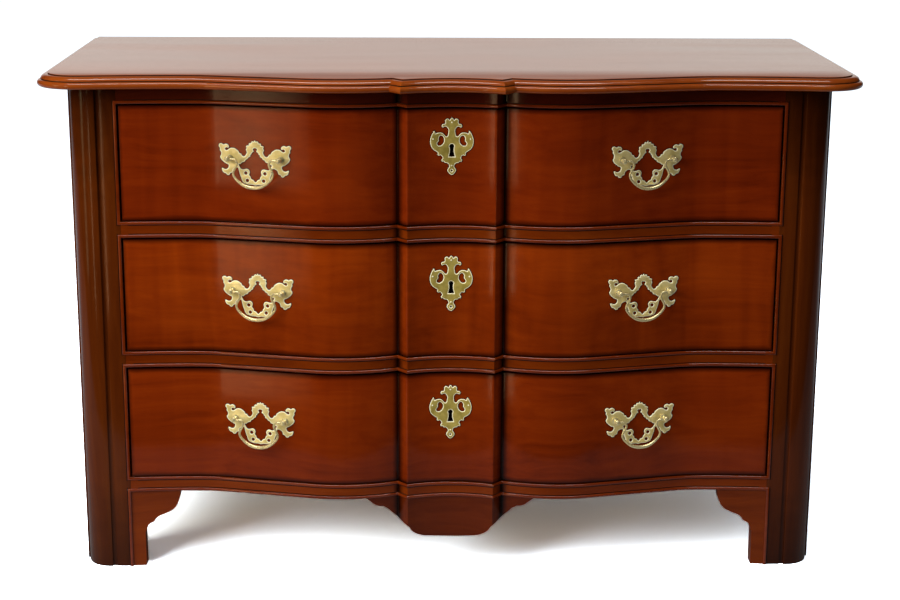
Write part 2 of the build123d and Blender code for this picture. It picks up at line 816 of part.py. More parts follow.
def grip_station(share):
    """Place, direction and swell along the right half of the grip, from its middle."""
    corner_length = bail_corner_radius * (pi / 2 - grip_angle)
    middle_length = grip_radius * grip_angle
    length = share * (corner_length + middle_length)
    if length <= middle_length:
        angle = length / grip_radius
        place = (grip_radius * sin(angle), -bail_drop + grip_radius * (1 - cos(angle)))
    else:
        angle = grip_angle + (length - middle_length) / bail_corner_radius
        place = (
            corner_run + bail_corner_radius * sin(angle),
            -bail_widest_drop - bail_corner_radius * cos(angle),
        )
    swell = (bail_grip_radius - bail_pin_radius) * cos(pi * share / 2) ** 2
    return place, (cos(angle), sin(angle)), bail_pin_radius + swell


def neck_stations():
    """Places and directions up the right swan neck, from the widest place to the end of the pin."""
    turn = ((bail_waist + bail_half_width) / 2, -(bail_waist_drop + bail_widest_drop) / 2)
    lean = 2 * atan2(bail_half_width - bail_waist, bail_widest_drop - bail_waist_drop)
    elbow = bail_elbow_radius
    elbow_middle = (bail_waist + elbow * (1 - cos(pi / 4)), -elbow * (1 - sin(pi / 4)))
    pin_x = post_spacing / 2 + pin_engagement
    stations = [
        (turn, (-sin(lean), cos(lean))),
        ((bail_waist, -bail_waist_drop), (0, 1)),
        ((bail_waist, -elbow), (0, 1)),
        (elbow_middle, (sin(pi / 4), cos(pi / 4))),
        ((bail_waist + elbow, 0), (1, 0)),
        ((pin_x, 0), (1, 0)),
    ]
    return [(place, direction, bail_pin_radius) for place, direction in stations]


def bail(handle_z):
    """The right handle's bail, hanging plumb: swan necks on pins and a grip swelled in the middle."""
    right = [grip_station(share) for share in grip_shares] + neck_stations()
    left = [((-x, y), (dx, -dy), radius) for (x, y), (dx, dy), radius in reversed(right[1:])]
    rings = []
    for (x, y), (dx, dy), radius in left + right:
        corners = polygon_ring(radius, bore_sides, 0)
        rings.append([(x + across * dy, y - across * dx, rise) for rise, across, level in corners])
    return handle_plane(handle_z) * (Pos(0, 0, head_height) * faceted(rings))


# Half outline of the escutcheon, from its crown down to its foot, as shares of its half width and rise
escutcheon_shares = [
    (0, 1), (-0.12, 0.92), (-0.25, 0.95), (-0.32, 0.84), (-0.29, 0.77), (-0.48, 0.72), (-0.43, 0.63),
    (-0.22, 0.66), (-0.155, 0.56), (-0.155, 0.42), (-0.25, 0.34), (-0.4, 0.45), (-0.6, 0.48),
    (-0.76, 0.45), (-0.81, 0.56), (-0.95, 0.38), (-1, 0.2), (-0.97, 0.03), (-0.84, -0.12),
    (-0.64, -0.22), (-0.58, -0.32), (-0.42, -0.38), (-0.44, -0.48), (-0.32, -0.58), (-0.17, -0.6),
    (-0.12, -0.72), (-0.2, -0.84), (-0.13, -0.95), (0, -1.01),
]
kidney_shares = [(-0.68, 0.05), (-0.6, 0.2), (-0.55, 0.37), (-0.4, 0.34), (-0.36, 0.2), (-0.46, 0.06)]
bend_shares = [-1, -0.5, 0, 0.5, 1]


def keyhole_face(spare):
    """The keyhole: round above, waisted, and splayed at its foot."""
    half_waist = keyhole_waist / 2 + spare
    half_foot = keyhole_foot / 2 + spare
    foot = -keyhole_length + keyhole_radius - spare
    face = RegularPolygon(keyhole_radius + spare, round_sides)
    points = [(-half_waist, 0), (half_waist, 0), (half_waist, foot / 2), (half_foot, foot)]
    points += [(-half_foot, foot), (-half_waist, foot / 2)]
    return face + make_face(Polyline(*points, close=True))


def escutcheon(keyhole_z):
    """The pierced brass escutcheon, bent in flat facets to the hollow block of the drawer's front."""
    width, rise = escutcheon_half_width, escutcheon_rise
    face = outline_face(width, rise, escutcheon_shares) - keyhole_face(leaf_gap)
    for side in (-1, 1):
        points = [(side * share_x * width, share_z * rise) for share_x, share_z in kidney_shares]
        face -= make_face(Polyline(*points, close=True))
    bend = asin((width + leaf_thickness) / block_radius)
    plan = []
    for forward, turns in ((leaf_gap, bend_shares), (leaf_gap + leaf_thickness, reversed(bend_shares))):
        reach = block_radius - forward
        plan += [(reach * sin(bend * turn), block_centre[1] + reach * cos(bend * turn)) for turn in turns]
    leaf = extrude(make_face(Polyline(*plan, close=True)), overall_height)
    return leaf & extrude(Plane.XZ * (Pos(0, keyhole_z) * face), overall_depth)


def lock_case(front_top, keyhole_z):
    """The lock's case with its selvedge, let into the back of the drawer's front."""
    half = lock_half_width
    case = block(
        -half, half, front_inner_y - lock_depth, front_inner_y, front_top - lock_height, front_top
    )
    slot_half = bolt_half_width + bolt_gap
    slot_deep = bolt_thickness / 2 + bolt_gap
    slot_foot = front_top - bolt_length - 2 * bolt_gap
    case -= block(
        -slot_half, slot_half, bolt_y - slot_deep, bolt_y + slot_deep, slot_foot, front_top + cut_overrun
    )
    keyway = extrude(Plane.XZ * (Pos(0, keyhole_z) * keyhole_face(0)), overall_depth)
    keyway = Pos(0, front_inner_y - lock_depth + keyway_depth, 0) * keyway
    return case - keyway


def lock_bolt(front_top):
    """The square bolt, drawn in, its head just below the selvedge."""
    high = front_top - bolt_gap
    half = bolt_thickness / 2
    return block(
        -bolt_half_width, bolt_half_width, bolt_y - half, bolt_y + half, high - bolt_length, high
    )


def drawer_front(low, keyhole_z, handle_z):
    """The serpentine front, cut from the solid with a flat back, and all that is let into it."""
    z0 = low + drawer_foot_reveal
    z1 = z0 + drawer_height
    side_z = low + running_gap
    front = front_layer(0, drawer_half_width, front_inner_y, z0, z1)
    for tails in both_sides(dovetails(front_inner_y, -dovetail_lap, side_z)):
        front -= tails
    front -= drawer_bottom(side_z)
    half = lock_half_width
    front -= block(-half, half, front_inner_y - lock_depth, front_inner_y, z1 - lock_height, z1)
    front -= extrude(Plane.XZ * (Pos(0, keyhole_z) * keyhole_face(leaf_gap)), overall_depth)
    for bores in both_sides(handle_bores(handle_z)):
        front -= bores
    return front


def lock_mortise(rail_z):
    """The hole in a rail's underside that takes the bolt."""
    half = lock_mortise_half_width
    deep = bolt_thickness / 2 + mortise_spare
    return block(-half, half, bolt_y - deep, bolt_y + deep, rail_z - cut_overrun, rail_z + lock_mortise_depth)


def write_carcase():
    """Writes every fixed piece."""
    write("top_board", top_board())
    pieces = {
        "front_post": front_post(),
        "rear_post": rear_post(),
        "side_panel": side_panel(),
        "base_bracket": base_bracket(),
    }
    for name, shape in pieces.items():
        write(f"right_{name}", shape)
        write(f"left_{name}", mirror(shape, about=Plane.YZ))
    names = ["bottom_rail"] + [f"drawer_rail_{index}" for index in range(1, drawer_count)] + ["frieze_rail"]
    for index, (name, (low, high)) in enumerate(zip(names, rail_levels)):
        rail = front_rail(low, high, index < drawer_count)
        if index > 0:
            rail -= lock_mortise(low)
        write(name, rail)
    write("centre_apron", centre_apron())
    write("back_boards", back_boards())
    write("rear_rails", rear_rails())
    write("drawer_runners", [shape for runner in drawer_runners() for shape in both_sides(runner)])
    guides = [shape for guide in drawer_guides() for shape in both_sides(guide)]
    write("drawer_guides", guides + drawer_kickers())
    write("drawer_stops", drawer_stops())
    write("glue_blocks", glue_blocks())
    board_top = bottom_opening_z - runner_thickness
    board_low = board_top - bottom_board_thickness
    half = opening_half_width
    write("bottom_board", block(-half, half, rail_back_y, rear_rail_y, board_low, board_top))


def write_drawer(number, low):
    """Writes one drawer's pieces; the drawers are numbered from the top."""
    name = f"drawer_{number}"
    side_z = low + running_gap
    front_low = low + drawer_foot_reveal
    front_top = front_low + drawer_height
    handle_z = (front_low + front_top) / 2 + handle_above_middle
    keyhole_z = front_top - escutcheon_below_top - escutcheon_rise
    if number > 1:
        keyhole_z -= lower_escutcheon_drop
    write(f"{name}_front", drawer_front(low, keyhole_z, handle_z))
    side = drawer_side(side_z)
    write(f"{name}_right_side", side)
    write(f"{name}_left_side", mirror(side, about=Plane.YZ))
    write(f"{name}_back", drawer_back(side_z))
    write(f"{name}_bottom", drawer_bottom(side_z))
    write(f"{name}_lock_case", lock_case(front_top, keyhole_z))
    write(f"{name}_lock_bolt", lock_bolt(front_top))
    write(f"{name}_escutcheon", escutcheon(keyhole_z))
    for side_name, plate in zip(("right", "left"), both_sides(handle_plate(handle_z))):
        write(f"{name}_{side_name}_plate", plate)
    posts = handle_posts(handle_z)
    write(f"{name}_handle_posts", posts + [mirror(post, about=Plane.YZ) for post in posts])
    for side_name, shape in zip(("right", "left"), both_sides(bail(handle_z))):
        write(f"{name}_{side_name}_bail", shape)


write_carcase()
for number, (low, high) in enumerate(reversed(opening_levels), 1):
    write_drawer(number, low)
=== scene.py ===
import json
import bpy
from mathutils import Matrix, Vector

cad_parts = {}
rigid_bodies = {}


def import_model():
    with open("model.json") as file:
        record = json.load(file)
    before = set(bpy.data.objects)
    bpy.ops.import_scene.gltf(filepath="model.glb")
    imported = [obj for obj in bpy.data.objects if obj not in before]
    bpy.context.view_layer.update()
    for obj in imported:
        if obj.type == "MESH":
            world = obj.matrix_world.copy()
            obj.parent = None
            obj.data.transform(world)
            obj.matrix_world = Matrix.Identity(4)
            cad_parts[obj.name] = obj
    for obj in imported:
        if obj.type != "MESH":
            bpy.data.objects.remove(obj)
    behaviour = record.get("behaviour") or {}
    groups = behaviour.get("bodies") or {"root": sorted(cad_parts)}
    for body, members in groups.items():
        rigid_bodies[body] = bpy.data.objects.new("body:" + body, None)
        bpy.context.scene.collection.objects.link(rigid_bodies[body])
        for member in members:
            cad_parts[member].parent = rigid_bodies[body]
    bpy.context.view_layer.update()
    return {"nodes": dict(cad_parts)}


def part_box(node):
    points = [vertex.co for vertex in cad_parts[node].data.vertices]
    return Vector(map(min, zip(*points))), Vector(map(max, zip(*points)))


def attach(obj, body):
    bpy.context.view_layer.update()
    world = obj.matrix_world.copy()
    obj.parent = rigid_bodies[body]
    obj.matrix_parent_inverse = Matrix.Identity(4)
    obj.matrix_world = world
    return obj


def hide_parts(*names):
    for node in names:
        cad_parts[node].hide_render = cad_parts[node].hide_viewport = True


bl_info = {
    "name": "Serpentine Commode Chest",
    "version": (1, 0, 0),
    "blender": (4, 5, 0),
    "location": "3D View > Sidebar > Commode",
    "description": "Dresses a commode chest: polished mahogany, moulded top, beads and pierced brass",
    "category": "Object",
}

from functools import partialmethod
from math import acos, asin, atan2, cos, hypot, pi, radians, sin, sqrt, tan

import bmesh
import bpy
from bpy.props import FloatProperty, FloatVectorProperty, IntProperty, PointerProperty
from mathutils import Matrix, Vector

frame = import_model()

mm = 0.001

# Carcase, read from the frame
top_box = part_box("top_board")
rail_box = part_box("drawer_rail_1")
post_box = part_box("right_front_post")
top_low, top_high = Vector(top_box[0]), Vector(top_box[1])
post_low, post_high = Vector(post_box[0]), Vector(post_box[1])
under_top = top_low.z
bead_width = 5 * mm
bead_proud = 2.5 * mm
face_y = post_low.y + bead_proud
opening_half = post_low.x
carcase_half = post_high.x
rail_back = rail_box[1][1]

# Serpentine plan: distances forward of the posts' face, and places from the middle
top_overhang = 40 * mm
top_corner_radius = 62 * mm
top_corner_reach = 75 * mm
lobe_swell = 37 * mm
lobe_from_middle = 0.3386 * opening_half
hollow_setback = 5 * mm
hollow_from_middle = 0.7869 * opening_half
notch_swell = 18 * mm
notch_from_middle = 0.1614 * opening_half
block_edge_swell = 35 * mm
block_edge_from_middle = 0.1325 * opening_half
block_middle_swell = 22.4 * mm

block_sagitta = block_edge_swell - block_middle_swell
block_radius = (block_edge_from_middle**2 + block_sagitta**2) / (2 * block_sagitta)
inner_run = lobe_from_middle - notch_from_middle
inner_fall = lobe_swell - notch_swell
inner_radius = (inner_run**2 + inner_fall**2) / (2 * inner_fall)
outer_run = opening_half - hollow_from_middle
corner_radius = (outer_run**2 + hollow_setback**2) / (2 * hollow_setback)
swell_run = hollow_from_middle - lobe_from_middle
swell_radius = 0.889 * swell_run
swell_centres = 2 * swell_radius - lobe_swell - hollow_setback
slope_angle = atan2(swell_run, swell_centres) - acos(2 * swell_radius / hypot(swell_run, swell_centres))

# Post plan
post_face_width = 26 * mm
post_flat_width = 6.5 * mm
post_flat_recess = 3 * mm
post_corner_radius = 38 * mm
post_corner_step = 3.5 * mm
post_corner_proud = 1.25 * mm
# Width of the flat strip beside each bead that is painted dark as the quirk's shade
quirk_width = 1.3 * mm

# Base
bracket_reach = 77 * mm
bracket_leg = 20 * mm
bracket_thickness = 20 * mm
apron_half_width = 132 * mm
apron_drop = 67 * mm

# Handles and escutcheons
handle_from_middle = (lobe_from_middle + hollow_from_middle) / 2 + 12 * mm
post_spacing = 80 * mm
plate_half_width = 56.5 * mm
plate_crest = 28 * mm
leaf_gap = 0.2 * mm
leaf_thickness = 1.5 * mm
# How far the dark sheet of grime and painted shadow reaches out past each leaf
grime_and_shadow_reach = 0.9 * mm
rim_width = 1.1 * mm
head_height = 12.7 * mm
head_radius = 4.4 * mm
collar_radius = 5.2 * mm
shank_radius = 2.4 * mm
shank_ends = (-25 * mm, 1.8 * mm)
nut_level = -19 * mm
nut_width = 10 * mm
nut_thickness = 4 * mm
escutcheon_half_width = 32.5 * mm
escutcheon_rise = 43 * mm
drawer_numbers = (1, 2, 3)
sides = (("right", 1), ("left", -1))


def drawer_levels(number):
    """Lowest and highest level of a drawer's front."""
    low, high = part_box(f"drawer_{number}_front")
    return low[2], high[2]


def handle_level(number):
    """Level of the pins on which a drawer's bails turn."""
    low, high = drawer_levels(number)
    return (low + high) / 2 + 10.5 * mm


def keyhole_level(number):
    """Level of the middle of a keyhole's round, which sits lower on the drawers under the first."""
    below_top = 13.5 * mm if number == 1 else 19.5 * mm
    return drawer_levels(number)[1] - below_top - escutcheon_rise


# Settings shown in the panel


class ChestSizes(bpy.types.PropertyGroup):
    """Sizes of the visible details."""

    arris: FloatProperty(
        name="Arris", description="Rounding of the wood's edges", default=1.2 * mm, min=0.0, unit="LENGTH"
    )
    curve_step: FloatProperty(
        name="Curve Step", description="Spacing of points along the front", default=4 * mm, min=mm, unit="LENGTH"
    )
    bead_steps: IntProperty(name="Bead Steps", description="Points across the round of a bead", default=10, min=4)
    grip_radius: FloatProperty(
        name="Grip Radius", description="Half the thickness of a bail's grip", default=2.7 * mm, unit="LENGTH"
    )
    pin_radius: FloatProperty(
        name="Pin Radius", description="Half the thickness of a bail's pins", default=1.7 * mm, unit="LENGTH"
    )
    nail_radius: FloatProperty(
        name="Nail Radius", description="Radius of the brass nails' heads", default=1.3 * mm, unit="LENGTH"
    )


class ChestColours(bpy.types.PropertyGroup):
    """Colours of the finishes."""

    wood_dark: FloatVectorProperty(
        name="Dark Mahogany", description="Darkest streaks", subtype="COLOR", default=(0.105, 0.0085, 0.0006)
    )
    wood_middle: FloatVectorProperty(
        name="Mahogany", description="Ground colour", subtype="COLOR", default=(0.185, 0.0175, 0.0010)
    )
    wood_light: FloatVectorProperty(
        name="Light Mahogany", description="Lightest streaks", subtype="COLOR", default=(0.27, 0.031, 0.0016)
    )
    brass: FloatVectorProperty(name="Brass", description="Aged brass", subtype="COLOR", default=(0.95, 0.80, 0.36))
    # Painted highlight: near white, for the light that worn brass edges and nail heads catch, as well as their wear
    brass_rub_and_highlight: FloatVectorProperty(
        name="Brass Edges", description="Rubbed edges of the brass", subtype="COLOR", default=(1.0, 0.95, 0.66)
    )
    floor: FloatVectorProperty(
        name="Floor", description="Floor under the chest", subtype="COLOR", default=(0.55, 0.55, 0.55)
    )


def sizes():
    return bpy.context.scene.chest_sizes


def colours():
    return bpy.context.scene.chest_colours


# Plan of the front


def meets_circle(point, direction, centre, radius):
    """Crossing of a line and a circle that lies nearest the line's point."""
    away = (point[0] - centre[0], point[1] - centre[1])
    along = away[0] * direction[0] + away[1] * direction[1]
    reach = sqrt(along**2 - away[0] ** 2 - away[1] ** 2 + radius**2)
    step = min(-along - reach, -along + reach, key=abs)
    return (point[0] + step * direction[0], point[1] + step * direction[1])


def arc_points(centre, radius, start, end, count):
    """Points on a circle from start to end, without the last."""
    first = atan2(start[1] - centre[1], start[0] - centre[0])
    last = atan2(end[1] - centre[1], end[0] - centre[0])
    turn = (last - first + pi) % (2 * pi) - pi
    angles = [first + turn * index / count for index in range(count)]
    return [(centre[0] + radius * cos(angle), centre[1] + radius * sin(angle)) for angle in angles]


def line_points(start, end, count):
    """Points on a line from start to end, without the last."""
    return [
        (start[0] + (end[0] - start[0]) * index / count, start[1] + (end[1] - start[1]) * index / count)
        for index in range(count)
    ]


def steps_for(length):
    return max(2, round(length / sizes().curve_step))


def half_front(forward, half_width):
    """Plan points of the right half of the front, moved forward by an equal distance."""
    block_centre = (0, face_y - block_middle_swell - block_radius)
    inner_centre = (lobe_from_middle, face_y - lobe_swell + inner_radius)
    crown_centre = (lobe_from_middle, face_y - lobe_swell + swell_radius)
    hollow_centre = (hollow_from_middle, face_y + hollow_setback - swell_radius)
    corner_centre = (hollow_from_middle, face_y + hollow_setback - corner_radius)
    run = notch_from_middle - block_edge_from_middle
    fall = block_edge_swell - notch_swell
    length = hypot(run, fall)
    direction = (run / length, fall / length)
    shift = (direction[1] * forward, -direction[0] * forward)
    edge = (block_edge_from_middle + shift[0], face_y - block_edge_swell + shift[1])
    edge = meets_circle(edge, direction, block_centre, block_radius - forward)
    notch = meets_circle(edge, direction, inner_centre, inner_radius + forward)
    middle = (0, block_centre[1] + block_radius - forward)
    peak = (lobe_from_middle, face_y - lobe_swell - forward)
    crown, hollow = swell_radius + forward, swell_radius - forward
    crown_end = (crown_centre[0] + crown * sin(slope_angle), crown_centre[1] - crown * cos(slope_angle))
    hollow_start = (
        hollow_centre[0] - hollow * sin(slope_angle), hollow_centre[1] + hollow * cos(slope_angle)
    )
    bottom = (hollow_from_middle, face_y + hollow_setback - forward)
    reach = corner_radius - forward
    end = (half_width, corner_centre[1] + sqrt(reach**2 - (half_width - hollow_from_middle) ** 2))
    points = arc_points(block_centre, block_radius - forward, middle, edge, steps_for(block_edge_from_middle))
    points += line_points(edge, notch, 4)
    points += arc_points(inner_centre, inner_radius + forward, notch, peak, steps_for(inner_run))
    points += arc_points(crown_centre, crown, peak, crown_end, steps_for(swell_radius * slope_angle))
    points += line_points(crown_end, hollow_start, 8)
    points += arc_points(hollow_centre, hollow, hollow_start, bottom, steps_for(swell_radius * slope_angle))
    points += arc_points(corner_centre, reach, bottom, end, 8)
    return points + [end]


def mirrored(points):
    """A right half's points, after their mirror images on the left."""
    return [(-x, y) for x, y in reversed(points[1:])] + points


def whole_front(forward, half_width):
    """Plan points of the front from left to right."""
    return mirrored(half_front(forward, half_width))


def front_y(x):
    """Depth of the front at a place across it."""
    points = half_front(0, opening_half)
    x = abs(x)
    for (x0, y0), (x1, y1) in zip(points, points[1:]):
        if x <= x1:
            return y0 + (y1 - y0) * (x - x0) / (x1 - x0)
    return face_y


def slope_y(x):
    """Depth of the straight slope on which a handle sits."""
    start_x = lobe_from_middle + swell_radius * sin(slope_angle)
    start_y = face_y - lobe_swell + swell_radius * (1 - cos(slope_angle))
    return start_y + (x - start_x) * tan(slope_angle)


# Meshes


def add_piece(name, data):
    """A new object in the scene that holds a mesh, curve, lamp or camera."""
    piece = bpy.data.objects.new(name, data)
    bpy.context.scene.collection.objects.link(piece)
    return piece


def add_object(name, points, faces, materials=(), face_slots=()):
    """A new mesh object, merged and with its faces turned outwards; faces without a slot get the first."""
    mesh = bpy.data.meshes.new(name)
    mesh.from_pydata(points, [], faces)
    for material in materials:
        mesh.materials.append(material)
    for polygon, slot in zip(mesh.polygons, face_slots):
        polygon.material_index = slot
    bm = bmesh.new()
    bm.from_mesh(mesh)
    bmesh.ops.remove_doubles(bm, verts=bm.verts, dist=1e-6)
    bmesh.ops.recalc_face_normals(bm, faces=bm.faces)
    bm.to_mesh(mesh)
    bm.free()
    return add_piece(name, mesh)


def smooth(piece, degrees=32):
    """Smooth shading with sharp edges where the faces turn by more than the angle."""
    for polygon in piece.data.polygons:
        polygon.use_smooth = True
    piece.data.set_sharp_from_angle(angle=radians(degrees))
    return piece


def apply_modifiers(piece):
    """Turns a piece with modifiers into a plain mesh."""
    graph = bpy.context.evaluated_depsgraph_get()
    mesh = bpy.data.meshes.new_from_object(piece.evaluated_get(graph))
    old = piece.data
    piece.modifiers.clear()
    piece.data = mesh
    mesh.name = old.name
    return piece


def ease_edges(piece, width, segments=3):
    """Rounds the sharp edges of a piece."""
    bevel = piece.modifiers.new("arris", "BEVEL")
    bevel.width = width
    bevel.segments = segments
    bevel.limit_method = "ANGLE"
    bevel.angle_limit = radians(40)
    return apply_modifiers(piece)


def cut_out(piece, cutter):
    """Cuts a closed shape out of a piece and removes it."""
    hole = piece.modifiers.new("hole", "BOOLEAN")
    hole.operation = "DIFFERENCE"
    hole.solver = "EXACT"
    hole.object = cutter
    apply_modifiers(piece)
    bpy.data.objects.remove(cutter, do_unlink=True)


def grid_faces(columns, rows, ring=False, closed=True):
    """Faces between columns of points; the columns can form a ring, and each column a closed line."""
    faces = []
    for column in range(columns if ring else columns - 1):
        here, there = column * rows, (column + 1) % columns * rows
        for row in range(rows if closed else rows - 1):
            below = (row + 1) % rows
            faces.append((here + row, there + row, there + below, here + below))
    return faces


def lofted(name, columns, materials=(), slots=(), ring=False):
    """A closed section carried through columns of points, with an end at each side unless they form a ring.

    The slots give the finish of each of the section's edges.
    """
    rows, last = len(columns[0]), len(columns) - 1
    faces = grid_faces(len(columns), rows, ring)
    if not ring:
        faces += [tuple(range(rows)), tuple(range(last * rows, last * rows + rows))]
    points = [point for column in columns for point in column]
    return add_object(name, points, faces, materials, list(slots) * len(columns))


def prism(name, plan, low, high, materials=()):
    """An upright block with a plan, between two levels."""
    return lofted(name, [[(x, y, level) for x, y in plan] for level in (low, high)], materials)


def swept_front(name, section, half_width, materials, back=None):
    """A closed section swept along the front: each point is its forward distance and its level.

    A point with no forward distance lies on the straight back.
    """
    lines = []
    for forward, level in section:
        plan = whole_front(forward or 0, half_width)
        lines.append([(x, back if forward is None else y, level) for x, y in plan])
    return lofted(name, list(zip(*lines)), materials)


def ridden(piece, body, replaces=()):
    """Hands a finished piece to its body."""
    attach(piece, body)
    if replaces:
        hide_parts(*replaces)
    return piece


# Node trees for the finishes


socket_kinds = {float: "Float", int: "Int", tuple: "Color"}


def new_group(name, inputs, outputs, kind="Shader"):
    """A node group with named sockets; an input is given by its default, or by its kind as an output is."""
    tree = bpy.data.node_groups.new(name, f"{kind}NodeTree")
    for label, value in inputs.items():
        bare = isinstance(value, str)
        socket_type = "NodeSocket" + (value if bare else socket_kinds[type(value)])
        socket = tree.interface.new_socket(name=label, in_out="INPUT", socket_type=socket_type)
        if not bare:
            socket.default_value = value
    for label, value in outputs.items():
        tree.interface.new_socket(name=label, in_out="OUTPUT", socket_type="NodeSocket" + value)
    nodes = Nodes(tree)
    return nodes, nodes.add("NodeGroupInput").outputs


class Nodes:
    """Adds nodes to a tree; each input takes a value or another node's output."""

    def __init__(self, tree):
        self.tree = tree

    def feed(self, node, values):
        """Sets or links the inputs of a node."""
        for key, value in values.items():
            if isinstance(value, bpy.types.NodeSocket):
                self.tree.links.new(value, node.inputs[key])
            else:
                node.inputs[key].default_value = value
        return node

    def add(self, kind, values=None, **settings):
        """A new node with its settings and inputs."""
        node = self.tree.nodes.new(kind)
        for key, value in settings.items():
            setattr(node, key, value)
        return self.feed(node, values or {})

    def out(self, kind, values=None, **settings):
        """The first output of a new node."""
        return self.add(kind, values, **settings).outputs[0]

    def math(self, operation, *operands, clamp=False):
        """The result of a Math node."""
        return self.out("ShaderNodeMath", dict(enumerate(operands)), operation=operation, use_clamp=clamp)

    plus = partialmethod(math, "ADD")
    minus = partialmethod(math, "SUBTRACT")
    times = partialmethod(math, "MULTIPLY")
    larger = partialmethod(math, "MAXIMUM")

    def blend(self, factor, first, second, mode="MIX"):
        """The colour of a Mix node."""
        values = {0: factor, 6: first, 7: second}
        return self.add("ShaderNodeMix", values, data_type="RGBA", blend_type=mode).outputs[2]

    def remap(self, value, low, high, to_low=0.0, to_high=1.0):
        """A value stretched from one range to another and clamped."""
        values = {"Value": value, "From Min": low, "From Max": high, "To Min": to_low, "To Max": to_high}
        return self.out("ShaderNodeMapRange", values)

    def noise(self, vector, scales, detail=3.0, roughness=0.5, distortion=0.0):
        """A noise texture's value over a vector with its own scale along each axis."""
        scaled = self.out("ShaderNodeVectorMath", {0: vector, 1: scales}, operation="MULTIPLY")
        values = {"Vector": scaled, "Scale": 1.0, "Detail": detail, "Roughness": roughness}
        return self.out("ShaderNodeTexNoise", {**values, "Distortion": distortion})

    def bump(self, height, strength, distance, invert=False):
        """A normal bent by a height."""
        values = {"Height": height, "Strength": strength, "Distance": distance}
        return self.out("ShaderNodeBump", values, invert=invert)

    def group(self, name, values):
        """The outputs of a shared group."""
        return self.add("ShaderNodeGroup", values, node_tree=bpy.data.node_groups[name]).outputs

    def object_vector(self, rotation=(0, 0, 0), place=(0, 0, 0)):
        """Object coordinates, turned and moved."""
        vector = self.add("ShaderNodeTexCoord").outputs["Object"]
        return self.out("ShaderNodeMapping", {"Vector": vector, "Location": place, "Rotation": rotation})


def grain_group():
    """Mahogany: long streaks along X of the given vector, slow clouds, ribbon figure and fine pores."""
    nodes, given = new_group("Mahogany Grain", {
        "Vector": "Vector", "Dark": (0.05, 0.01, 0.002, 1), "Middle": (0.15, 0.02, 0.003, 1),
        "Light": (0.25, 0.05, 0.005, 1), "Figure": 0.5,
    }, {"Color": "Color", "Pores": "Float", "Gloss": "Float"})
    bend = nodes.times(nodes.noise(given["Vector"], (2.2, 7.0, 7.0)), 0.09)
    shift = nodes.out("ShaderNodeCombineXYZ", {"Y": bend, "Z": bend})
    bent = nodes.out("ShaderNodeVectorMath", {0: given["Vector"], 1: shift}, operation="ADD")
    streaks = nodes.noise(bent, (2.5, 75.0, 75.0), 5.0, 0.62)
    clouds = nodes.noise(bent, (2.0, 9.0, 9.0), 2.0)
    ribbons = nodes.noise(given["Vector"], (26.0, 3.0, 3.0), 2.0, 0.4, 1.2)
    pores = nodes.remap(nodes.noise(bent, (70.0, 1300.0, 1300.0), 2.0), 0.62, 0.75)
    figure = nodes.times(nodes.times(nodes.minus(ribbons, 0.5), given["Figure"]), 0.5)
    tone = nodes.plus(nodes.plus(nodes.times(streaks, 0.55), nodes.times(clouds, 0.45)), figure)
    colour = nodes.blend(nodes.remap(tone, 0.25, 0.50), given["Dark"], given["Middle"])
    colour = nodes.blend(nodes.remap(tone, 0.50, 0.80), colour, given["Light"])
    colour = nodes.blend(nodes.times(pores, 0.35), colour, given["Dark"])
    nodes.add("NodeGroupOutput", {"Color": colour, "Pores": pores, "Gloss": nodes.remap(clouds, 0.3, 0.7)})


def edge_group():
    """Painted shade: darker toward a face's edges, where gaps and overhangs shade it, and in a corner that stands off
    the middle, where the notch lies in shade.
    """
    nodes, given = new_group("Painted Edge Shade", {
        "Vector": "Vector", "Low": 0.0, "High": 1.0, "Reach": 0.02, "Corner": 0.08, "Edge Shade": 0.5,
        "Half Width": 2.0,
    }, {"Shade": "Float"})
    x, _, z = nodes.add("ShaderNodeSeparateXYZ", {0: given["Vector"]}).outputs
    patches = nodes.noise(given["Vector"], (22.0, 22.0, 40.0))
    reach = nodes.times(given["Reach"], nodes.plus(patches, 0.5))
    from_middle = nodes.math("ABSOLUTE", x)
    nearest = nodes.minus(given["Half Width"], from_middle)
    for distance in (nodes.minus(z, given["Low"]), nodes.minus(given["High"], z)):
        nearest = nodes.math("MINIMUM", nearest, distance)
    near = nodes.math("DIVIDE", nearest, reach, clamp=True)
    lift = nodes.minus(1.0, given["Edge Shade"])
    edge = nodes.plus(nodes.times(near, lift), given["Edge Shade"])
    off = nodes.math("ABSOLUTE", nodes.minus(from_middle, given["Corner"]))
    corner = nodes.remap(off, 0.0015, 0.009, 0.08, 1.0)
    nodes.add("NodeGroupOutput", {"Shade": nodes.times(edge, corner)})


def ageing_group():
    """Uneven ageing: cloudy patches at a given scale."""
    nodes, given = new_group("Ageing", {"Vector": "Vector", "Scale": 60.0}, {"Patches": "Float"})
    scaled = nodes.out(
        "ShaderNodeVectorMath", {"Vector": given["Vector"], "Scale": given["Scale"]}, operation="SCALE"
    )
    patches = nodes.noise(scaled, (1, 1, 1))
    nodes.add("NodeGroupOutput", {"Patches": nodes.remap(patches, 0.35, 0.65)})


def new_material(name):
    """A material, its nodes and its Principled shader."""
    material = bpy.data.materials.new(name)
    material.use_nodes = True
    return material, Nodes(material.node_tree), material.node_tree.nodes["Principled BSDF"]


def grain(nodes, tones, figure, rotation=(0, 0, 0), place=(0, 0, 0)):
    """The mahogany group in its three tones, from dark to light."""
    values = {label: (*tone, 1) for label, tone in zip(("Dark", "Middle", "Light"), tones)}
    vector = nodes.object_vector(rotation, place)
    return nodes.group("Mahogany Grain", {"Vector": vector, "Figure": figure, **values})


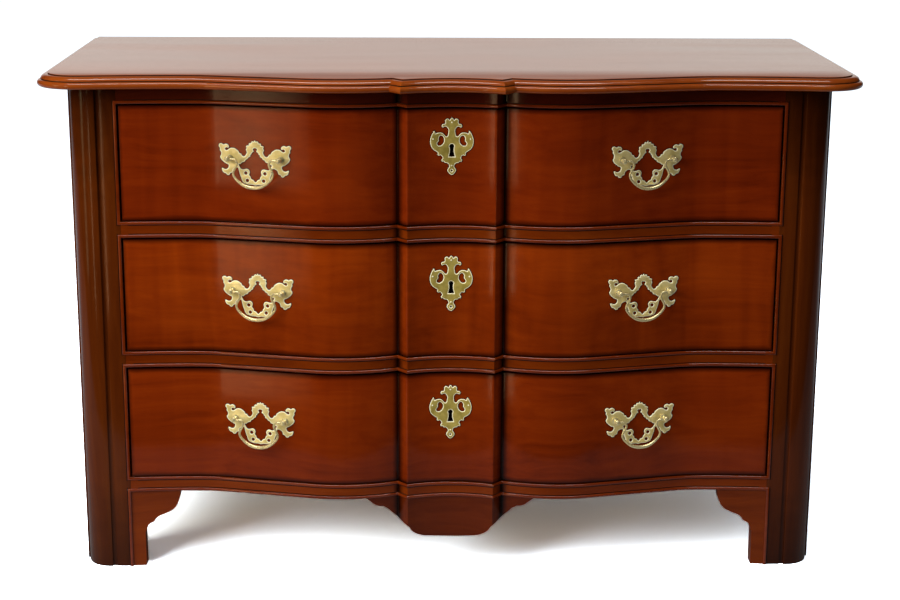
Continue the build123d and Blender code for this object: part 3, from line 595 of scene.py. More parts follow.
def wood_material(name, place, figure, shade, rotation=(0, 0, 0), polish=0.15, edges=None):
    """Polished mahogany whose grain runs along the mapped X."""
    material, nodes, shader = new_material(name)
    tones = [[value * part for value, part in zip(tone, shade)]
             for tone in (colours().wood_dark, colours().wood_middle, colours().wood_light)]
    wood = grain(nodes, tones, figure, rotation, place)
    colour = wood["Color"]
    # Painted shade: the edge group darkens the colour toward the edges and in the notch corner
    if edges:
        painted_edge_shade = nodes.group("Painted Edge Shade", {"Vector": nodes.object_vector(), **edges})
        colour = nodes.blend(1.0, colour, painted_edge_shade["Shade"], "MULTIPLY")
    nodes.feed(shader, {
        "Base Color": colour, "Roughness": nodes.remap(wood["Gloss"], 0, 1, 0.11, 0.17),
        "Specular IOR Level": polish, "Normal": nodes.bump(wood["Pores"], 0.12, 0.3 * mm, True),
    })
    return material


def plain_wood_material(name, dark, light):
    """Planed unpolished wood for the inside."""
    material, nodes, shader = new_material(name)
    middle = tuple((a + b) / 2 for a, b in zip(dark, light))
    wood = grain(nodes, (dark, middle, light), 0.15)
    nodes.feed(shader, {
        "Base Color": wood["Color"], "Roughness": 0.62, "Specular IOR Level": 0.3,
        "Normal": nodes.bump(wood["Pores"], 0.3, 0.3 * mm, True),
    })
    return material


def metal_material(name, colour, tarnish, roughness, metallic=1.0, dents=0.25):
    """Metal with patches of tarnish and a slightly uneven surface."""
    material, nodes, shader = new_material(name)
    patches = nodes.group("Ageing", {"Vector": nodes.object_vector(), "Scale": 80.0})["Patches"]
    nodes.feed(shader, {
        "Base Color": nodes.blend(nodes.times(patches, 0.7), (*colour, 1), (*tarnish, 1)),
        "Roughness": nodes.remap(patches, 0, 1, roughness - 0.06, roughness + 0.08),
        "Normal": nodes.bump(patches, dents, 0.2 * mm), "Metallic": metallic,
    })
    return material


def shade_and_grime_material():
    """Painted shade in the quirks and creases, and grime with painted shadow behind the brass."""
    material, nodes, shader = new_material("painted_shade_and_grime")
    patches = nodes.group("Ageing", {"Vector": nodes.object_vector(), "Scale": 150.0})["Patches"]
    colour = nodes.blend(patches, (0.006, 0.002, 0.001, 1), (0.016, 0.004, 0.001, 1))
    nodes.feed(shader, {"Base Color": colour, "Roughness": 0.5, "Specular IOR Level": 0.2})
    return material


def painted_edge_shade(low, high, reach, shade, corner=notch_from_middle, half_width=2.0):
    """The painted edge shade's values for a face between two levels; a corner at 1 m lies off the chest."""
    return {"Low": low, "High": high, "Reach": reach, "Edge Shade": shade, "Corner": corner,
            "Half Width": half_width}


# Each mahogany's place in the grain, figure, shade of the three channels, and what else it has
woods = {
    "drawer_1": ((0.3, 0, 0.1), 0.5, (0.9, 0.92, 1), {}),
    "drawer_2": ((1.7, 0, 0.4), 0.75, (1.0, 1.2, 1), {}),
    "drawer_3": ((3.1, 0, 0.9), 0.3, (0.88, 1, 1), {}),
    # Painted shade in the notch corner of each rail
    "rail": ((0.9, 0, 2.2), 0.1, (0.8, 1.2, 1), {"edges": painted_edge_shade(-1, 2, 10 * mm, 0.5)}),
    # Painted shadow: the frieze is darker all over, as shaded by the top's overhang, with painted shade in the notch
    # corner
    "frieze": ((0.5, 0, 1.2), 0.1, (0.3, 0.35, 1), {"edges": painted_edge_shade(-1, 2, 10 * mm, 0.5)}),
    "bead": ((0.2, 0, 1.2), 0.0, (0.7, 0.9, 1), {"polish": 0.5}),
    # The posts are darker toward the floor, with painted shade under the top's overhang
    "post": ((0.4, 0, 0.2), 0.1, (0.42, 0.8, 1.2),
             {"rotation": (0, pi / 2, 0), "edges": painted_edge_shade(-0.05, 0.8, 0.2, 0.3, 1)}),
    "side": ((0, 0.5, 0.7), 0.3, (0.8, 0.9, 1), {"rotation": (0, 0, pi / 2)}),
    # The brackets are darker toward the floor and toward the bead above
    "base": ((2.3, 0, 0.3), 0.1, (0.72, 1.1, 1), {"edges": painted_edge_shade(-0.03, 0.15, 0.03, 0.5, 1)}),
    # Painted shade: the drop is darker all over, as shaded under the bottom rail and bead, and darker toward its foot
    # and in the notch corner
    "drop": ((1.3, 0, 0.6), 0.2, (0.5, 0.7, 1), {"edges": painted_edge_shade(0.05, 0.2, 0.02, 0.5)}),
    "top": ((4.0, 0.2, 0), 0.2, (1.1, 2.1, 3.5), {"polish": 0.5}),
}
# Painted shade toward each drawer's top, bottom and ends, for the dark gaps round it, and in the notch corner
for number in drawer_numbers:
    woods[f"drawer_{number}"][-1]["edges"] = painted_edge_shade(*drawer_levels(number), 8 * mm, 0.12, half_width=opening_half)


def make_materials():
    """Every finish of the chest, by name."""
    grain_group()
    ageing_group()
    edge_group()
    made = {name: wood_material(f"mahogany_{name}", *values, **more) for name, (*values, more) in woods.items()}
    brass, brass_rub_and_highlight = colours().brass, colours().brass_rub_and_highlight
    made.update({
        "inner": plain_wood_material("carcase_wood", (0.16, 0.085, 0.04), (0.30, 0.18, 0.09)),
        "lining": plain_wood_material("drawer_lining", (0.30, 0.165, 0.07), (0.50, 0.31, 0.14)),
        "brass": metal_material("aged_brass", brass, (0.64, 0.50, 0.15), 0.36, 0.4),
        # Painted highlight: not metallic, so the rims and nails stay near white
        "brass_rub_and_highlight": metal_material("rubbed_and_highlit_brass", brass_rub_and_highlight, (0.98, 0.90, 0.56), 0.3, 0.0),
        "olive_brass": metal_material("olive_brass", (0.78, 0.62, 0.15), (0.36, 0.27, 0.04), 0.40, 0.5),
        "bail_brass": metal_material("polished_brass", (1.0, 0.88, 0.48), (0.90, 0.76, 0.36), 0.26, 0.7, 0.02),
        "steel": metal_material("lock_steel", (0.22, 0.21, 0.20), (0.10, 0.08, 0.06), 0.45),
        "shade_and_grime": shade_and_grime_material(),
    })
    return made


finishes = {}

# The CAD nodes that stay visible, by finish
node_finishes = {
    "post": ("left_rear_post", "right_rear_post"),
    "side": ("left_side_panel", "right_side_panel"),
    "inner": ("back_boards", "rear_rails", "drawer_runners", "drawer_guides", "drawer_stops", "glue_blocks",
              "bottom_board"),
}
drawer_node_finishes = {
    "lining": ("left_side", "right_side", "back", "bottom"),
    "steel": ("lock_case", "lock_bolt"),
}


def dress_nodes(finish, nodes):
    """Gives CAD nodes their finish."""
    for node in nodes:
        for slot in frame["nodes"][node].material_slots:
            slot.material = finishes[finish]


# Wood pieces


class CHEST_OT_finishes(bpy.types.Operator):
    """Makes every finish and gives the hidden and inner pieces theirs"""

    bl_idname = "chest.finishes"
    bl_label = "Finishes"

    def execute(self, context):
        finishes.update(make_materials())
        for finish, nodes in node_finishes.items():
            dress_nodes(finish, nodes)
        for number in drawer_numbers:
            for finish, nodes in drawer_node_finishes.items():
                dress_nodes(finish, [f"drawer_{number}_{node}" for node in nodes])
            dress_nodes(f"drawer_{number}", [f"drawer_{number}_front"])
        return {"FINISHED"}


def top_outline(inset):
    """Plan points of the top from the back of its left side round the front to the back of its right."""
    half = top_high.x - inset
    radius = top_corner_radius - inset
    right = half_front(top_overhang - inset, top_high.x - top_corner_reach)
    kink = right[-1]
    corner = (half - radius, kink[1] + radius)
    right += line_points(kink, (corner[0], kink[1]), 2)[1:]
    right += arc_points(corner, radius, (corner[0], kink[1]), (half, corner[1]), 18)
    right += line_points((half, corner[1]), (half, top_high.y), 12)
    return mirrored(right + [(half, top_high.y)])


class CHEST_OT_top(bpy.types.Operator):
    """Makes the top board with its torus, ovolo and step"""

    bl_idname = "chest.top"
    bl_label = "Top Board"

    def execute(self, context):
        height = top_high.z - top_low.z
        step, width, ovolo = 2 * mm, 16.5 * mm, 7.5 * mm
        torus = (height - step - ovolo) / 2
        ovolo_run = (width - torus) * 0.8
        section = [(torus * (1 - sin(pi * i / 10)), torus * (1 - cos(pi * i / 10))) for i in range(11)]
        for index in range(1, 9):
            angle = pi / 2 * index / 8
            section.append((torus + ovolo_run * (1 - cos(angle)), 2 * torus + ovolo * sin(angle)))
        section += [(width - 0.3 * mm, height - step), (width, height - step + 0.3 * mm)]
        section += [(width, height - 0.6 * mm), (width + 0.2 * mm, height - 0.15 * mm), (width + 0.7 * mm, height)]
        # Painted shade: the faces of these rows take the dark finish, for the shade in the moulding's creases
        quirk_rows = (10, 19, 20)  # between torus and ovolo, and the step's foot and side
        lines = [[(x, y, top_low.z + level) for x, y in top_outline(inset)] for inset, level in section]
        points = [point for column in zip(*lines) for point in column]
        rows = len(section)
        faces = grid_faces(len(lines[0]), rows, closed=False)
        face_slots = [int(index % (rows - 1) in quirk_rows) for index in range(len(faces))]
        under = range(0, len(points), rows)
        faces += [tuple(under), tuple(first + rows - 1 for first in under)]
        faces.append(tuple(range(rows)) + tuple(reversed(range(len(points) - rows, len(points)))))
        piece = add_object("moulded_top", points, faces, [finishes["top"], finishes["shade_and_grime"]], face_slots)
        ridden(smooth(piece), "carcase", ["top_board"])
        return {"FINISHED"}


def rail_bodies():
    """Each rail's node with its lowest and highest level, from the bottom up."""
    names = ("bottom_rail", "drawer_rail_1", "drawer_rail_2", "frieze_rail")
    return [(name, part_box(name)[0][2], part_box(name)[1][2]) for name in names]


class CHEST_OT_rails(bpy.types.Operator):
    """Makes the serpentine rails, with the locks' mortises"""

    bl_idname = "chest.rails"
    bl_label = "Rails"

    def execute(self, context):
        half_mortise, front, back = 10 * mm, face_y + 11.5 * mm, face_y + 18.5 * mm
        mortise = [(-half_mortise, front), (-half_mortise, back), (half_mortise, back), (half_mortise, front)]
        for name, low, high in rail_bodies():
            section = [(0, low), (0, high), (None, high), (None, low)]
            finish = finishes["frieze" if name == "frieze_rail" else "rail"]
            piece = swept_front(f"{name}_body", section, opening_half, [finish], back=rail_back)
            if name != "bottom_rail":
                cut_out(piece, prism("mortise", mortise, low - 5 * mm, low + 7.5 * mm))
            ridden(smooth(piece), "carcase", [name])
        return {"FINISHED"}


def bead_section():
    """Across the bead from the opening outwards: distance out, distance forward, and finish; the flat strip of the
    quirk takes the dark finish as painted shade.
    """
    count = sizes().bead_steps
    root, quirk_floor = -2 * mm, 0.06 * mm
    points = [(0, root, 0)]
    for index in range(count):
        angle = pi * index / count
        points.append((bead_width / 2 * (1 - cos(angle)), bead_proud * sin(angle) ** 0.72, 0))
    outside = bead_width + quirk_width
    return points + [(bead_width, quirk_floor, 1), (outside, quirk_floor, 0), (outside, root, 0)]


def bead_columns(level, outward, section):
    """Columns of bead points along the front at an opening's lower or upper edge."""
    lines = []
    for across, forward, _ in section:
        line = [(x, y, level + outward * across) for x, y in whole_front(forward, opening_half)]
        for end, side in ((0, -1), (-1, 1)):
            line[end] = (side * (opening_half + across), face_y - forward, level + outward * across)
        lines.append(line)
    return list(zip(*lines))


class CHEST_OT_beads(bpy.types.Operator):
    """Makes the bead round each drawer's opening and round the opening between the feet"""

    bl_idname = "chest.beads"
    bl_label = "Beads"

    def execute(self, context):
        section = bead_section()
        slots = [slot for _, _, slot in section]
        rails = rail_bodies()
        beads = []
        for number, below, over in zip((3, 2, 1), rails, rails[1:]):
            columns = bead_columns(below[2], -1, section) + bead_columns(over[1], 1, section)[::-1]
            beads.append((f"opening_bead_{number}", columns, True))
        left, right = (
            [(side * (opening_half + across), face_y - forward, 0.0) for across, forward, _ in section]
            for side in (-1, 1)
        )
        beads.append(("base_bead", [left, *bead_columns(rails[0][1], 1, section), right], False))
        for name, columns, ring in beads:
            piece = lofted(name, columns, [finishes["bead"], finishes["shade_and_grime"]], slots, ring)
            ridden(smooth(piece, 50), "carcase")
        return {"FINISHED"}


def post_outline():
    """Plan of the right front post, from the inner back corner round its front."""
    face_end = opening_half + post_face_width
    flat_end = face_end + post_flat_width
    radius = post_corner_radius
    centre = (carcase_half - post_corner_step - radius, face_y - post_corner_proud + radius)
    run = flat_end - centre[0]
    start = (flat_end, centre[1] - sqrt(radius**2 - run**2))
    end = (centre[0] + radius, centre[1])
    points = [(opening_half, post_high.y), (opening_half, face_y), (face_end, face_y)]
    points += [(face_end, face_y + post_flat_recess), (flat_end, face_y + post_flat_recess)]
    points += arc_points(centre, radius, start, end, 22) + [end]
    points += [(carcase_half, centre[1]), (carcase_half, post_high.y)]
    return points


class CHEST_OT_posts(bpy.types.Operator):
    """Makes the front posts with their rounded corners, which end as the feet"""

    bl_idname = "chest.posts"
    bl_label = "Front Posts"

    def execute(self, context):
        for name, side in sides:
            plan = [(side * x, y) for x, y in post_outline()]
            piece = prism(f"{name}_corner_post", plan, 0.0, under_top, [finishes["post"]])
            ease_edges(piece, 0.7 * mm, segments=2)
            ridden(smooth(piece, 50), "carcase", [f"{name}_front_post"])
        return {"FINISHED"}


# Half outlines as shares, with the bulge of the edge that leads to each point
bracket_shares = [
    (1, 0, 0), (0.983, -0.079, -0.05), (0.949, -0.157, -0.12), (0.886, -0.228, -0.15), (0.785, -0.279, -0.12),
    (0.663, -0.313, 0), (0.554, -0.339, 0.05), (0.487, -0.373, 0.1), (0.454, -0.408, 0.15), (0.357, -0.438, 0),
    (0.3, -0.482, 0.15), (0.277, -0.54, 0.15),
]
apron_shares = [
    (1, 0, 0), (0.932, -0.104, 0), (0.886, -0.179, 0.1), (0.792, -0.23, 0.15), (0.75, -0.281, 0.08),
    (0.689, -0.41, 0), (0.606, -0.579, -0.08), (0.549, -0.645, -0.08), (0.492, -0.694, 0), (0.47, -0.776, -0.06),
    (0.428, -0.86, 0.1), (0.36, -0.933, 0.1), (0.265, -0.976, 0.1), (0.06, -1, 0.02), (0, -1, 0),
]


def outline_points(origin, scale_x, scale_z, shares, steps=6):
    """Points of an outline of lines and bulged edges."""
    start = (origin[0] + shares[0][0] * scale_x, origin[1] + shares[0][1] * scale_z)
    points = [start]
    for share_x, share_z, bulge in shares[1:]:
        end = (origin[0] + share_x * scale_x, origin[1] + share_z * scale_z)
        chord = (end[0] - start[0], end[1] - start[1])
        for index in range(1, steps + 1):
            part = index / steps
            rise = 2 * bulge * part * (1 - part)
            points.append((start[0] + chord[0] * part - chord[1] * rise,
                           start[1] + chord[1] * part + chord[0] * rise))
        start = end
    return points


def shaped_board(name, lower, top, back, material):
    """A board whose front follows the serpentine, between its lower outline and a level top."""
    recess = 1 * mm
    steps = 5
    columns = []
    for x, z in lower:
        y = front_y(x) + recess
        column = [(x, y, z + (top - z) * step / steps) for step in range(steps + 1)]
        columns.append(column + [(x, back, top), (x, back, z)])
    return lofted(name, columns, [material])


class CHEST_OT_base(bpy.types.Operator):
    """Makes the shaped brackets and the drop under the middle"""

    bl_idname = "chest.base"
    bl_label = "Brackets and Drop"

    def execute(self, context):
        base = rail_bodies()[0][1]
        edge = base - 0.2 * mm
        curve = outline_points((opening_half, base), -bracket_reach, base, bracket_shares)
        leg_x = opening_half - bracket_leg
        lower = [(x, min(z, edge)) for x, z in curve] + [(leg_x, curve[-1][1])] * (curve[-1][0] < leg_x)
        lower += [(leg_x + 0.01 * mm, 0.0), (opening_half, 0.0)]
        back = face_y + hollow_setback + bracket_thickness
        for name, side in sides:
            points = [(side * x, z) for x, z in lower]
            piece = shaped_board(f"{name}_bracket_board", points, base, back, finishes["base"])
            ridden(smooth(piece), "carcase", [f"{name}_base_bracket"])
        half = outline_points((0, base), apron_half_width, apron_drop, apron_shares)
        lower = mirrored([(x, min(z, edge)) for x, z in reversed(half)])
        drop = shaped_board("middle_drop", lower, base, face_y + 6 * mm, finishes["drop"])
        ridden(smooth(drop), "carcase", ["centre_apron"])
        return {"FINISHED"}


class CHEST_OT_fronts(bpy.types.Operator):
    """Lays the polished face with rounded arrises on each drawer's front"""

    bl_idname = "chest.fronts"
    bl_label = "Drawer Faces"

    def execute(self, context):
        proud, spare, depth = 0.25 * mm, 0.05 * mm, 6 * mm
        for number in drawer_numbers:
            low, high = drawer_levels(number)
            low, high = low - spare, high + spare
            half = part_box(f"drawer_{number}_front")[1][0] + spare
            section = [(-depth, low), (proud, low), (proud, high), (-depth, high)]
            piece = swept_front(f"drawer_{number}_face", section, half, [finishes[f"drawer_{number}"]])
            ease_edges(piece, sizes().arris)
            level = keyhole_level(number)
            cutter = [[(x, y, level + z) for x, z in keyhole_outline()] for y in (face_y - 40 * mm, face_y + 8 * mm)]
            cut_out(piece, lofted("keyhole", cutter))
            ridden(smooth(piece), f"drawer_{number}")
        return {"FINISHED"}


def keyhole_outline():
    """Outline of a keyhole: round above, waisted, splayed at the foot."""
    radius, waist, foot, bottom = 3.6 * mm, 2.8 * mm, 4.7 * mm, -15.8 * mm
    sweep = pi - asin(waist / radius)
    half = [(radius * sin(sweep * i / 8), radius * cos(sweep * i / 8)) for i in range(9)]
    half += [(waist, bottom / 2), (foot, bottom)]
    return half + [(-x, z) for x, z in reversed(half[1:])]


# Brass

# Half outline of the plate from its crest down to its foot, as shares of its half width and its crest
plate_shares = [
    (0, 1), (-0.025, 0.91), (-0.06, 0.94), (-0.095, 0.9), (-0.1, 0.83), (-0.15, 0.83), (-0.17, 0.78),
    (-0.165, 0.71), (-0.22, 0.70), (-0.245, 0.64), (-0.225, 0.56), (-0.25, 0.5), (-0.24, 0.42),
    (-0.225, 0.33), (-0.25, 0.2), (-0.31, 0.1), (-0.37, 0.17), (-0.39, 0.25), (-0.43, 0.26), (-0.46, 0.38),
    (-0.5, 0.44), (-0.56, 0.52), (-0.63, 0.54), (-0.69, 0.52), (-0.74, 0.45), (-0.79, 0.40), (-0.83, 0.45),
    (-0.82, 0.53), (-0.775, 0.56), (-0.75, 0.53), (-0.72, 0.60), (-0.75, 0.71), (-0.82, 0.75), (-0.87, 0.70),
    (-0.92, 0.76), (-0.99, 0.72), (-1, 0.6), (-0.965, 0.5), (-0.975, 0.4), (-0.94, 0.3), (-0.945, 0.12),
    (-0.97, 0.06), (-0.94, -0.1), (-0.88, -0.22), (-0.8, -0.33), (-0.74, -0.38), (-0.745, -0.52),
    (-0.79, -0.62), (-0.86, -0.63), (-0.925, -0.57), (-0.92, -0.7), (-0.88, -0.83), (-0.82, -0.86),
    (-0.79, -0.94), (-0.72, -0.93), (-0.70, -0.84), (-0.64, -0.8), (-0.62, -0.65), (-0.58, -0.57),
    (-0.48, -0.52), (-0.46, -0.62), (-0.44, -0.82), (-0.4, -1.05), (-0.35, -1.3), (-0.27, -1.38),
    (-0.2, -1.42), (-0.08, -1.42), (0, -1.46),
]
# Half outline of its middle opening, from the top down
opening_shares = [
    (0, 0.57), (-0.04, 0.55), (-0.06, 0.48), (-0.035, 0.40), (-0.055, 0.35), (-0.09, 0.31), (-0.1, 0.23),
    (-0.13, 0.2), (-0.135, 0.1), (-0.19, 0.05), (-0.21, -0.03), (-0.265, -0.08), (-0.29, -0.18),
    (-0.36, -0.22), (-0.41, -0.32), (-0.46, -0.33), (-0.435, -0.46), (-0.41, -0.55), (-0.36, -0.61),
    (-0.3, -0.60), (-0.24, -0.57), (-0.18, -0.62), (-0.155, -0.76), (-0.175, -0.9), (-0.135, -1.0),
    (-0.12, -1.12), (-0.06, -1.16), (0, -1.29),
]
plate_hole_shares = [(-0.265, -0.8), (-0.225, -1.2)]
# Half outline of the escutcheon, from its crown down to its foot, as shares of its half width and rise
escutcheon_shares = [
    (0, 1), (-0.06, 0.97), (-0.1, 0.915), (-0.16, 0.96), (-0.25, 0.96), (-0.31, 0.90), (-0.3, 0.83),
    (-0.34, 0.78), (-0.42, 0.78), (-0.47, 0.72), (-0.43, 0.66), (-0.36, 0.68), (-0.28, 0.69), (-0.2, 0.64),
    (-0.155, 0.56), (-0.17, 0.45), (-0.2, 0.36), (-0.27, 0.345), (-0.34, 0.4), (-0.42, 0.46), (-0.55, 0.485),
    (-0.68, 0.47), (-0.76, 0.45), (-0.80, 0.55), (-0.86, 0.5), (-0.93, 0.4), (-0.99, 0.27), (-1, 0.17),
    (-0.97, 0.03), (-0.91, -0.06), (-0.82, -0.13), (-0.72, -0.18), (-0.64, -0.23), (-0.65, -0.3),
    (-0.58, -0.33), (-0.53, -0.31), (-0.45, -0.36), (-0.42, -0.42), (-0.47, -0.47), (-0.45, -0.54),
    (-0.38, -0.53), (-0.32, -0.58), (-0.22, -0.59), (-0.15, -0.63), (-0.115, -0.72), (-0.17, -0.78),
    (-0.2, -0.86), (-0.15, -0.92), (-0.1, -0.97), (0, -1.01),
]
kidney_shares = [
    (-0.67, 0.06), (-0.66, 0.14), (-0.6, 0.19), (-0.61, 0.27), (-0.57, 0.35), (-0.49, 0.38), (-0.41, 0.34),
    (-0.36, 0.26), (-0.36, 0.17), (-0.41, 0.09), (-0.5, 0.03), (-0.6, 0.02),
]


def closed_outline(shares, scale_x, scale_z):
    """A closed outline from the shares of one half and their mirror."""
    left = [(x * scale_x, z * scale_z) for x, z in shares]
    return left + [(-x, z) for x, z in reversed(left[1:-1])]


def circle_outline(x, z, radius, count=14):
    """Points round a circle."""
    return [(x + radius * cos(2 * pi * i / count), z + radius * sin(2 * pi * i / count)) for i in range(count)]


def leaf_mesh(name, outlines, round_outlines, thickness, bevel, grow):
    """A pierced leaf in the XY plane with bevelled edges, centred on it; grow widens its metal."""
    curve = bpy.data.curves.new(name, "CURVE")
    curve.dimensions = "2D"
    curve.fill_mode = "BOTH"
    curve.extrude = thickness / 2 - bevel
    curve.bevel_depth = bevel
    curve.bevel_resolution = 2
    curve.offset = grow - bevel
    for outline in outlines:
        spline = curve.splines.new("BEZIER")
        spline.bezier_points.add(len(outline) - 1)
        for point, (x, y) in zip(spline.bezier_points, outline):
            point.co = (x, y, 0)
            point.handle_left_type = point.handle_right_type = "AUTO"
        spline.use_cyclic_u = True
        spline.resolution_u = 2
    for outline in round_outlines:
        spline = curve.splines.new("POLY")
        spline.points.add(len(outline) - 1)
        for point, (x, y) in zip(spline.points, outline):
            point.co = (x, y, 0, 1)
        spline.use_cyclic_u = True
    holder = add_piece(name, curve)
    mesh = apply_curve(holder)
    bpy.data.objects.remove(holder, do_unlink=True)
    bpy.data.curves.remove(curve)
    return mesh


def apply_curve(holder):
    """The mesh of a curve object."""
    graph = bpy.context.evaluated_depsgraph_get()
    graph.update()
    return bpy.data.meshes.new_from_object(holder.evaluated_get(graph))


def leaf_layers(name, outlines, round_outlines):
    """The grime and painted shadow round a leaf, its rubbed rim painted pale as a highlight, and its face, raised a
    little over the rim.
    """
    layers = []
    face_height = 0.9 * mm
    for part, thickness, bevel, grow, low in (
        ("grime_and_shadow", 0.4 * mm, 0.1 * mm, grime_and_shadow_reach, 0.0),
        ("rim", leaf_thickness - 0.2 * mm, 0.45 * mm, 0.0, 0.0),
        ("face", face_height, 0.2 * mm, -rim_width, leaf_thickness - face_height),
    ):
        mesh = leaf_mesh(f"{name}_{part}", outlines, round_outlines, thickness, bevel, grow)
        mesh.transform(Matrix.Translation((0, 0, low + thickness / 2)))
        layers.append(mesh)
    return layers


def leaf_piece(name, layers, matrix, face_finish, cuts=()):
    """Places a leaf made of grime with painted shadow, a rim with painted highlight, and a face, cut at places along x
    where it is to bend.
    """
    mesh = bpy.data.meshes.new(name)
    for finish in ("shade_and_grime", "brass_rub_and_highlight", face_finish):
        mesh.materials.append(finishes[finish])
    bm = bmesh.new()
    for index, layer in enumerate(layers):
        count = len(bm.faces)
        bm.from_mesh(layer)
        bm.faces.ensure_lookup_table()
        for face in bm.faces[count:]:
            face.material_index = index
    bmesh.ops.remove_doubles(bm, verts=bm.verts, dist=2e-6)
    for place in cuts:
        bmesh.ops.bisect_plane(bm, geom=bm.verts[:] + bm.edges[:] + bm.faces[:], dist=1e-7,
                               plane_co=(place, 0, 0), plane_no=(1, 0, 0))
    bmesh.ops.recalc_face_normals(bm, faces=bm.faces)
    bm.to_mesh(mesh)
    bm.free()
    mesh.transform(matrix)
    return smooth(add_piece(name, mesh), 35)


def handle_matrix(number, side, out=0.0):
    """Local x along the slope, y up and z out of the drawer, for the right (1) or left (-1) handle."""
    x_axis = Vector((cos(slope_angle), side * sin(slope_angle), 0))
    z_axis = Vector((side * sin(slope_angle), -cos(slope_angle), 0))
    matrix = Matrix((x_axis, (0, 0, 1), z_axis)).transposed().to_4x4()
    matrix.translation = (side * handle_from_middle, slope_y(handle_from_middle), handle_level(number))
    return matrix @ Matrix.Translation((0, 0, out))


class CHEST_OT_plates(bpy.types.Operator):
    """Makes the pierced brass plates of the handles"""

    bl_idname = "chest.plates"
    bl_label = "Plates"

    def execute(self, context):
        outlines = [closed_outline(shares, plate_half_width, plate_crest) for shares in (plate_shares, opening_shares)]
        rounds = [
            circle_outline(side * share_x * plate_half_width, share_z * plate_crest, 2.7 * mm)
            for share_x, share_z in plate_hole_shares for side in (-1, 1)
        ]
        layers = leaf_layers("plate", outlines, rounds)
        for number in drawer_numbers:
            for name, side in sides:
                matrix = handle_matrix(number, side, leaf_gap)
                piece = leaf_piece(f"drawer_{number}_{name}_pierced_plate", layers, matrix, "brass")
                ridden(piece, f"drawer_{number}", [f"drawer_{number}_{name}_plate"])
        bpy.data.batch_remove(layers)
        return {"FINISHED"}


class CHEST_OT_escutcheons(bpy.types.Operator):
    """Makes the pierced escutcheons, bent to the hollow of the middle block"""

    bl_idname = "chest.escutcheons"
    bl_label = "Escutcheons"

    def execute(self, context):
        width, rise = escutcheon_half_width, escutcheon_rise
        outlines = [closed_outline(escutcheon_shares, width, rise)]
        outlines += [[(side * x * width, z * rise) for x, z in kidney_shares] for side in (1, -1)]
        rounds = [keyhole_outline(), circle_outline(0, -0.855 * rise, 1.6 * mm, 12)]
        layers = leaf_layers("escutcheon", outlines, rounds)
        cuts = [index * 4 * mm for index in range(-8, 9)]
        for number in drawer_numbers:
            matrix = Matrix.Translation((0, 0, keyhole_level(number))) @ Matrix.Rotation(pi / 2, 4, "X")
            piece = leaf_piece(f"drawer_{number}_pierced_escutcheon", layers, matrix, "olive_brass", cuts)
            for vertex in piece.data.vertices:
                vertex.co.y += front_y(vertex.co.x) - leaf_gap - 0.1 * mm
            ridden(piece, f"drawer_{number}", [f"drawer_{number}_escutcheon"])
        bpy.data.batch_remove(layers)
        return {"FINISHED"}


# Geometry node trees


def run_tree(piece, tree, values):
    """Runs a geometry tree on a piece and keeps its result as a plain mesh."""
    modifier = piece.modifiers.new("nodes", "NODES")
    modifier.node_group = tree
    identifiers = {item.name: item.identifier for item in tree.interface.items_tree if item.in_out == "INPUT"}
    for label, value in values.items():
        modifier[identifiers[label]] = value
    return apply_modifiers(piece)


def round_bar(nodes, path, given):
    """A round bar along a path, as thick as the radius of the path's points."""
    ring = nodes.out("GeometryNodeCurvePrimitiveCircle", {"Radius": 1.0, "Resolution": given["Sides"]})
    return nodes.out("GeometryNodeCurveToMesh", {
        "Curve": path, "Profile Curve": ring, "Scale": nodes.out("GeometryNodeInputRadius"), "Fill Caps": True,
    })


def finish_tree(nodes, shape, given):
    """Realizes a tree's shape, gives it its finish and ends the tree."""
    real = nodes.out("GeometryNodeRealizeInstances", {"Geometry": shape})
    done = nodes.out("GeometryNodeSetMaterial", {"Geometry": real, "Material": given["Finish"]})
    nodes.add("NodeGroupOutput", {"Geometry": done})
    return nodes.tree


def turned_tree(name, profile):
    """Instances of a turned brass piece on every point, facing along each point's own direction.

    The profile holds the share of the radius at shares of the height.
    """
    nodes, given = new_group(name, {
        "Geometry": "Geometry", "Height": 5 * mm, "Radius": 4 * mm, "Sides": 24, "Rings": 24, "Finish": "Material",
    }, {"Geometry": "Geometry"}, "Geometry")
    top = nodes.out("ShaderNodeCombineXYZ", {"Z": given["Height"]})
    line = nodes.out("GeometryNodeCurvePrimitiveLine", {"End": top})
    points = nodes.out("GeometryNodeResampleCurve", {"Curve": line, "Count": given["Rings"]})
    shape = nodes.add("ShaderNodeFloatCurve", {"Value": nodes.out("GeometryNodeSplineParameter")})
    curve = shape.mapping.curves[0]
    curve.points[0].location = (0, profile[0][1])
    curve.points[1].location = (1, profile[-1][1])
    for share, radius in profile[1:-1]:
        curve.points.new(share, radius)
    for point in curve.points:
        point.handle_type = "AUTO_CLAMPED"
    shape.mapping.update()
    wide = nodes.times(shape.outputs[0], given["Radius"])
    body = round_bar(nodes, nodes.out("GeometryNodeSetCurveRadius", {"Curve": points, "Radius": wide}), given)
    facing = nodes.out("GeometryNodeInputNamedAttribute", {"Name": "facing"}, data_type="FLOAT_VECTOR")
    turn = nodes.out("FunctionNodeAlignRotationToVector", {"Vector": facing}, axis="Z")
    placed = nodes.out("GeometryNodeInstanceOnPoints", {
        "Points": given["Geometry"], "Instance": body, "Rotation": turn,
    })
    return finish_tree(nodes, placed, given)


def point_holder(name, places, attribute, kind, values, edges=()):
    """An object of points that each carry an attribute."""
    mesh = bpy.data.meshes.new(name)
    mesh.from_pydata(places, edges, [])
    data = mesh.attributes.new(attribute, kind, "POINT").data
    for item, value in zip(data, values):
        setattr(item, "vector" if kind == "FLOAT_VECTOR" else "value", value)
    return add_piece(name, mesh)


def turned_pieces(name, places, directions, tree, height, radius, sides_count, rings, finish):
    """Turned pieces at places, each facing its own direction."""
    piece = point_holder(name, places, "facing", "FLOAT_VECTOR", directions)
    return run_tree(piece, tree, {
        "Height": height, "Radius": radius, "Sides": sides_count, "Rings": rings, "Finish": finishes[finish],
    })


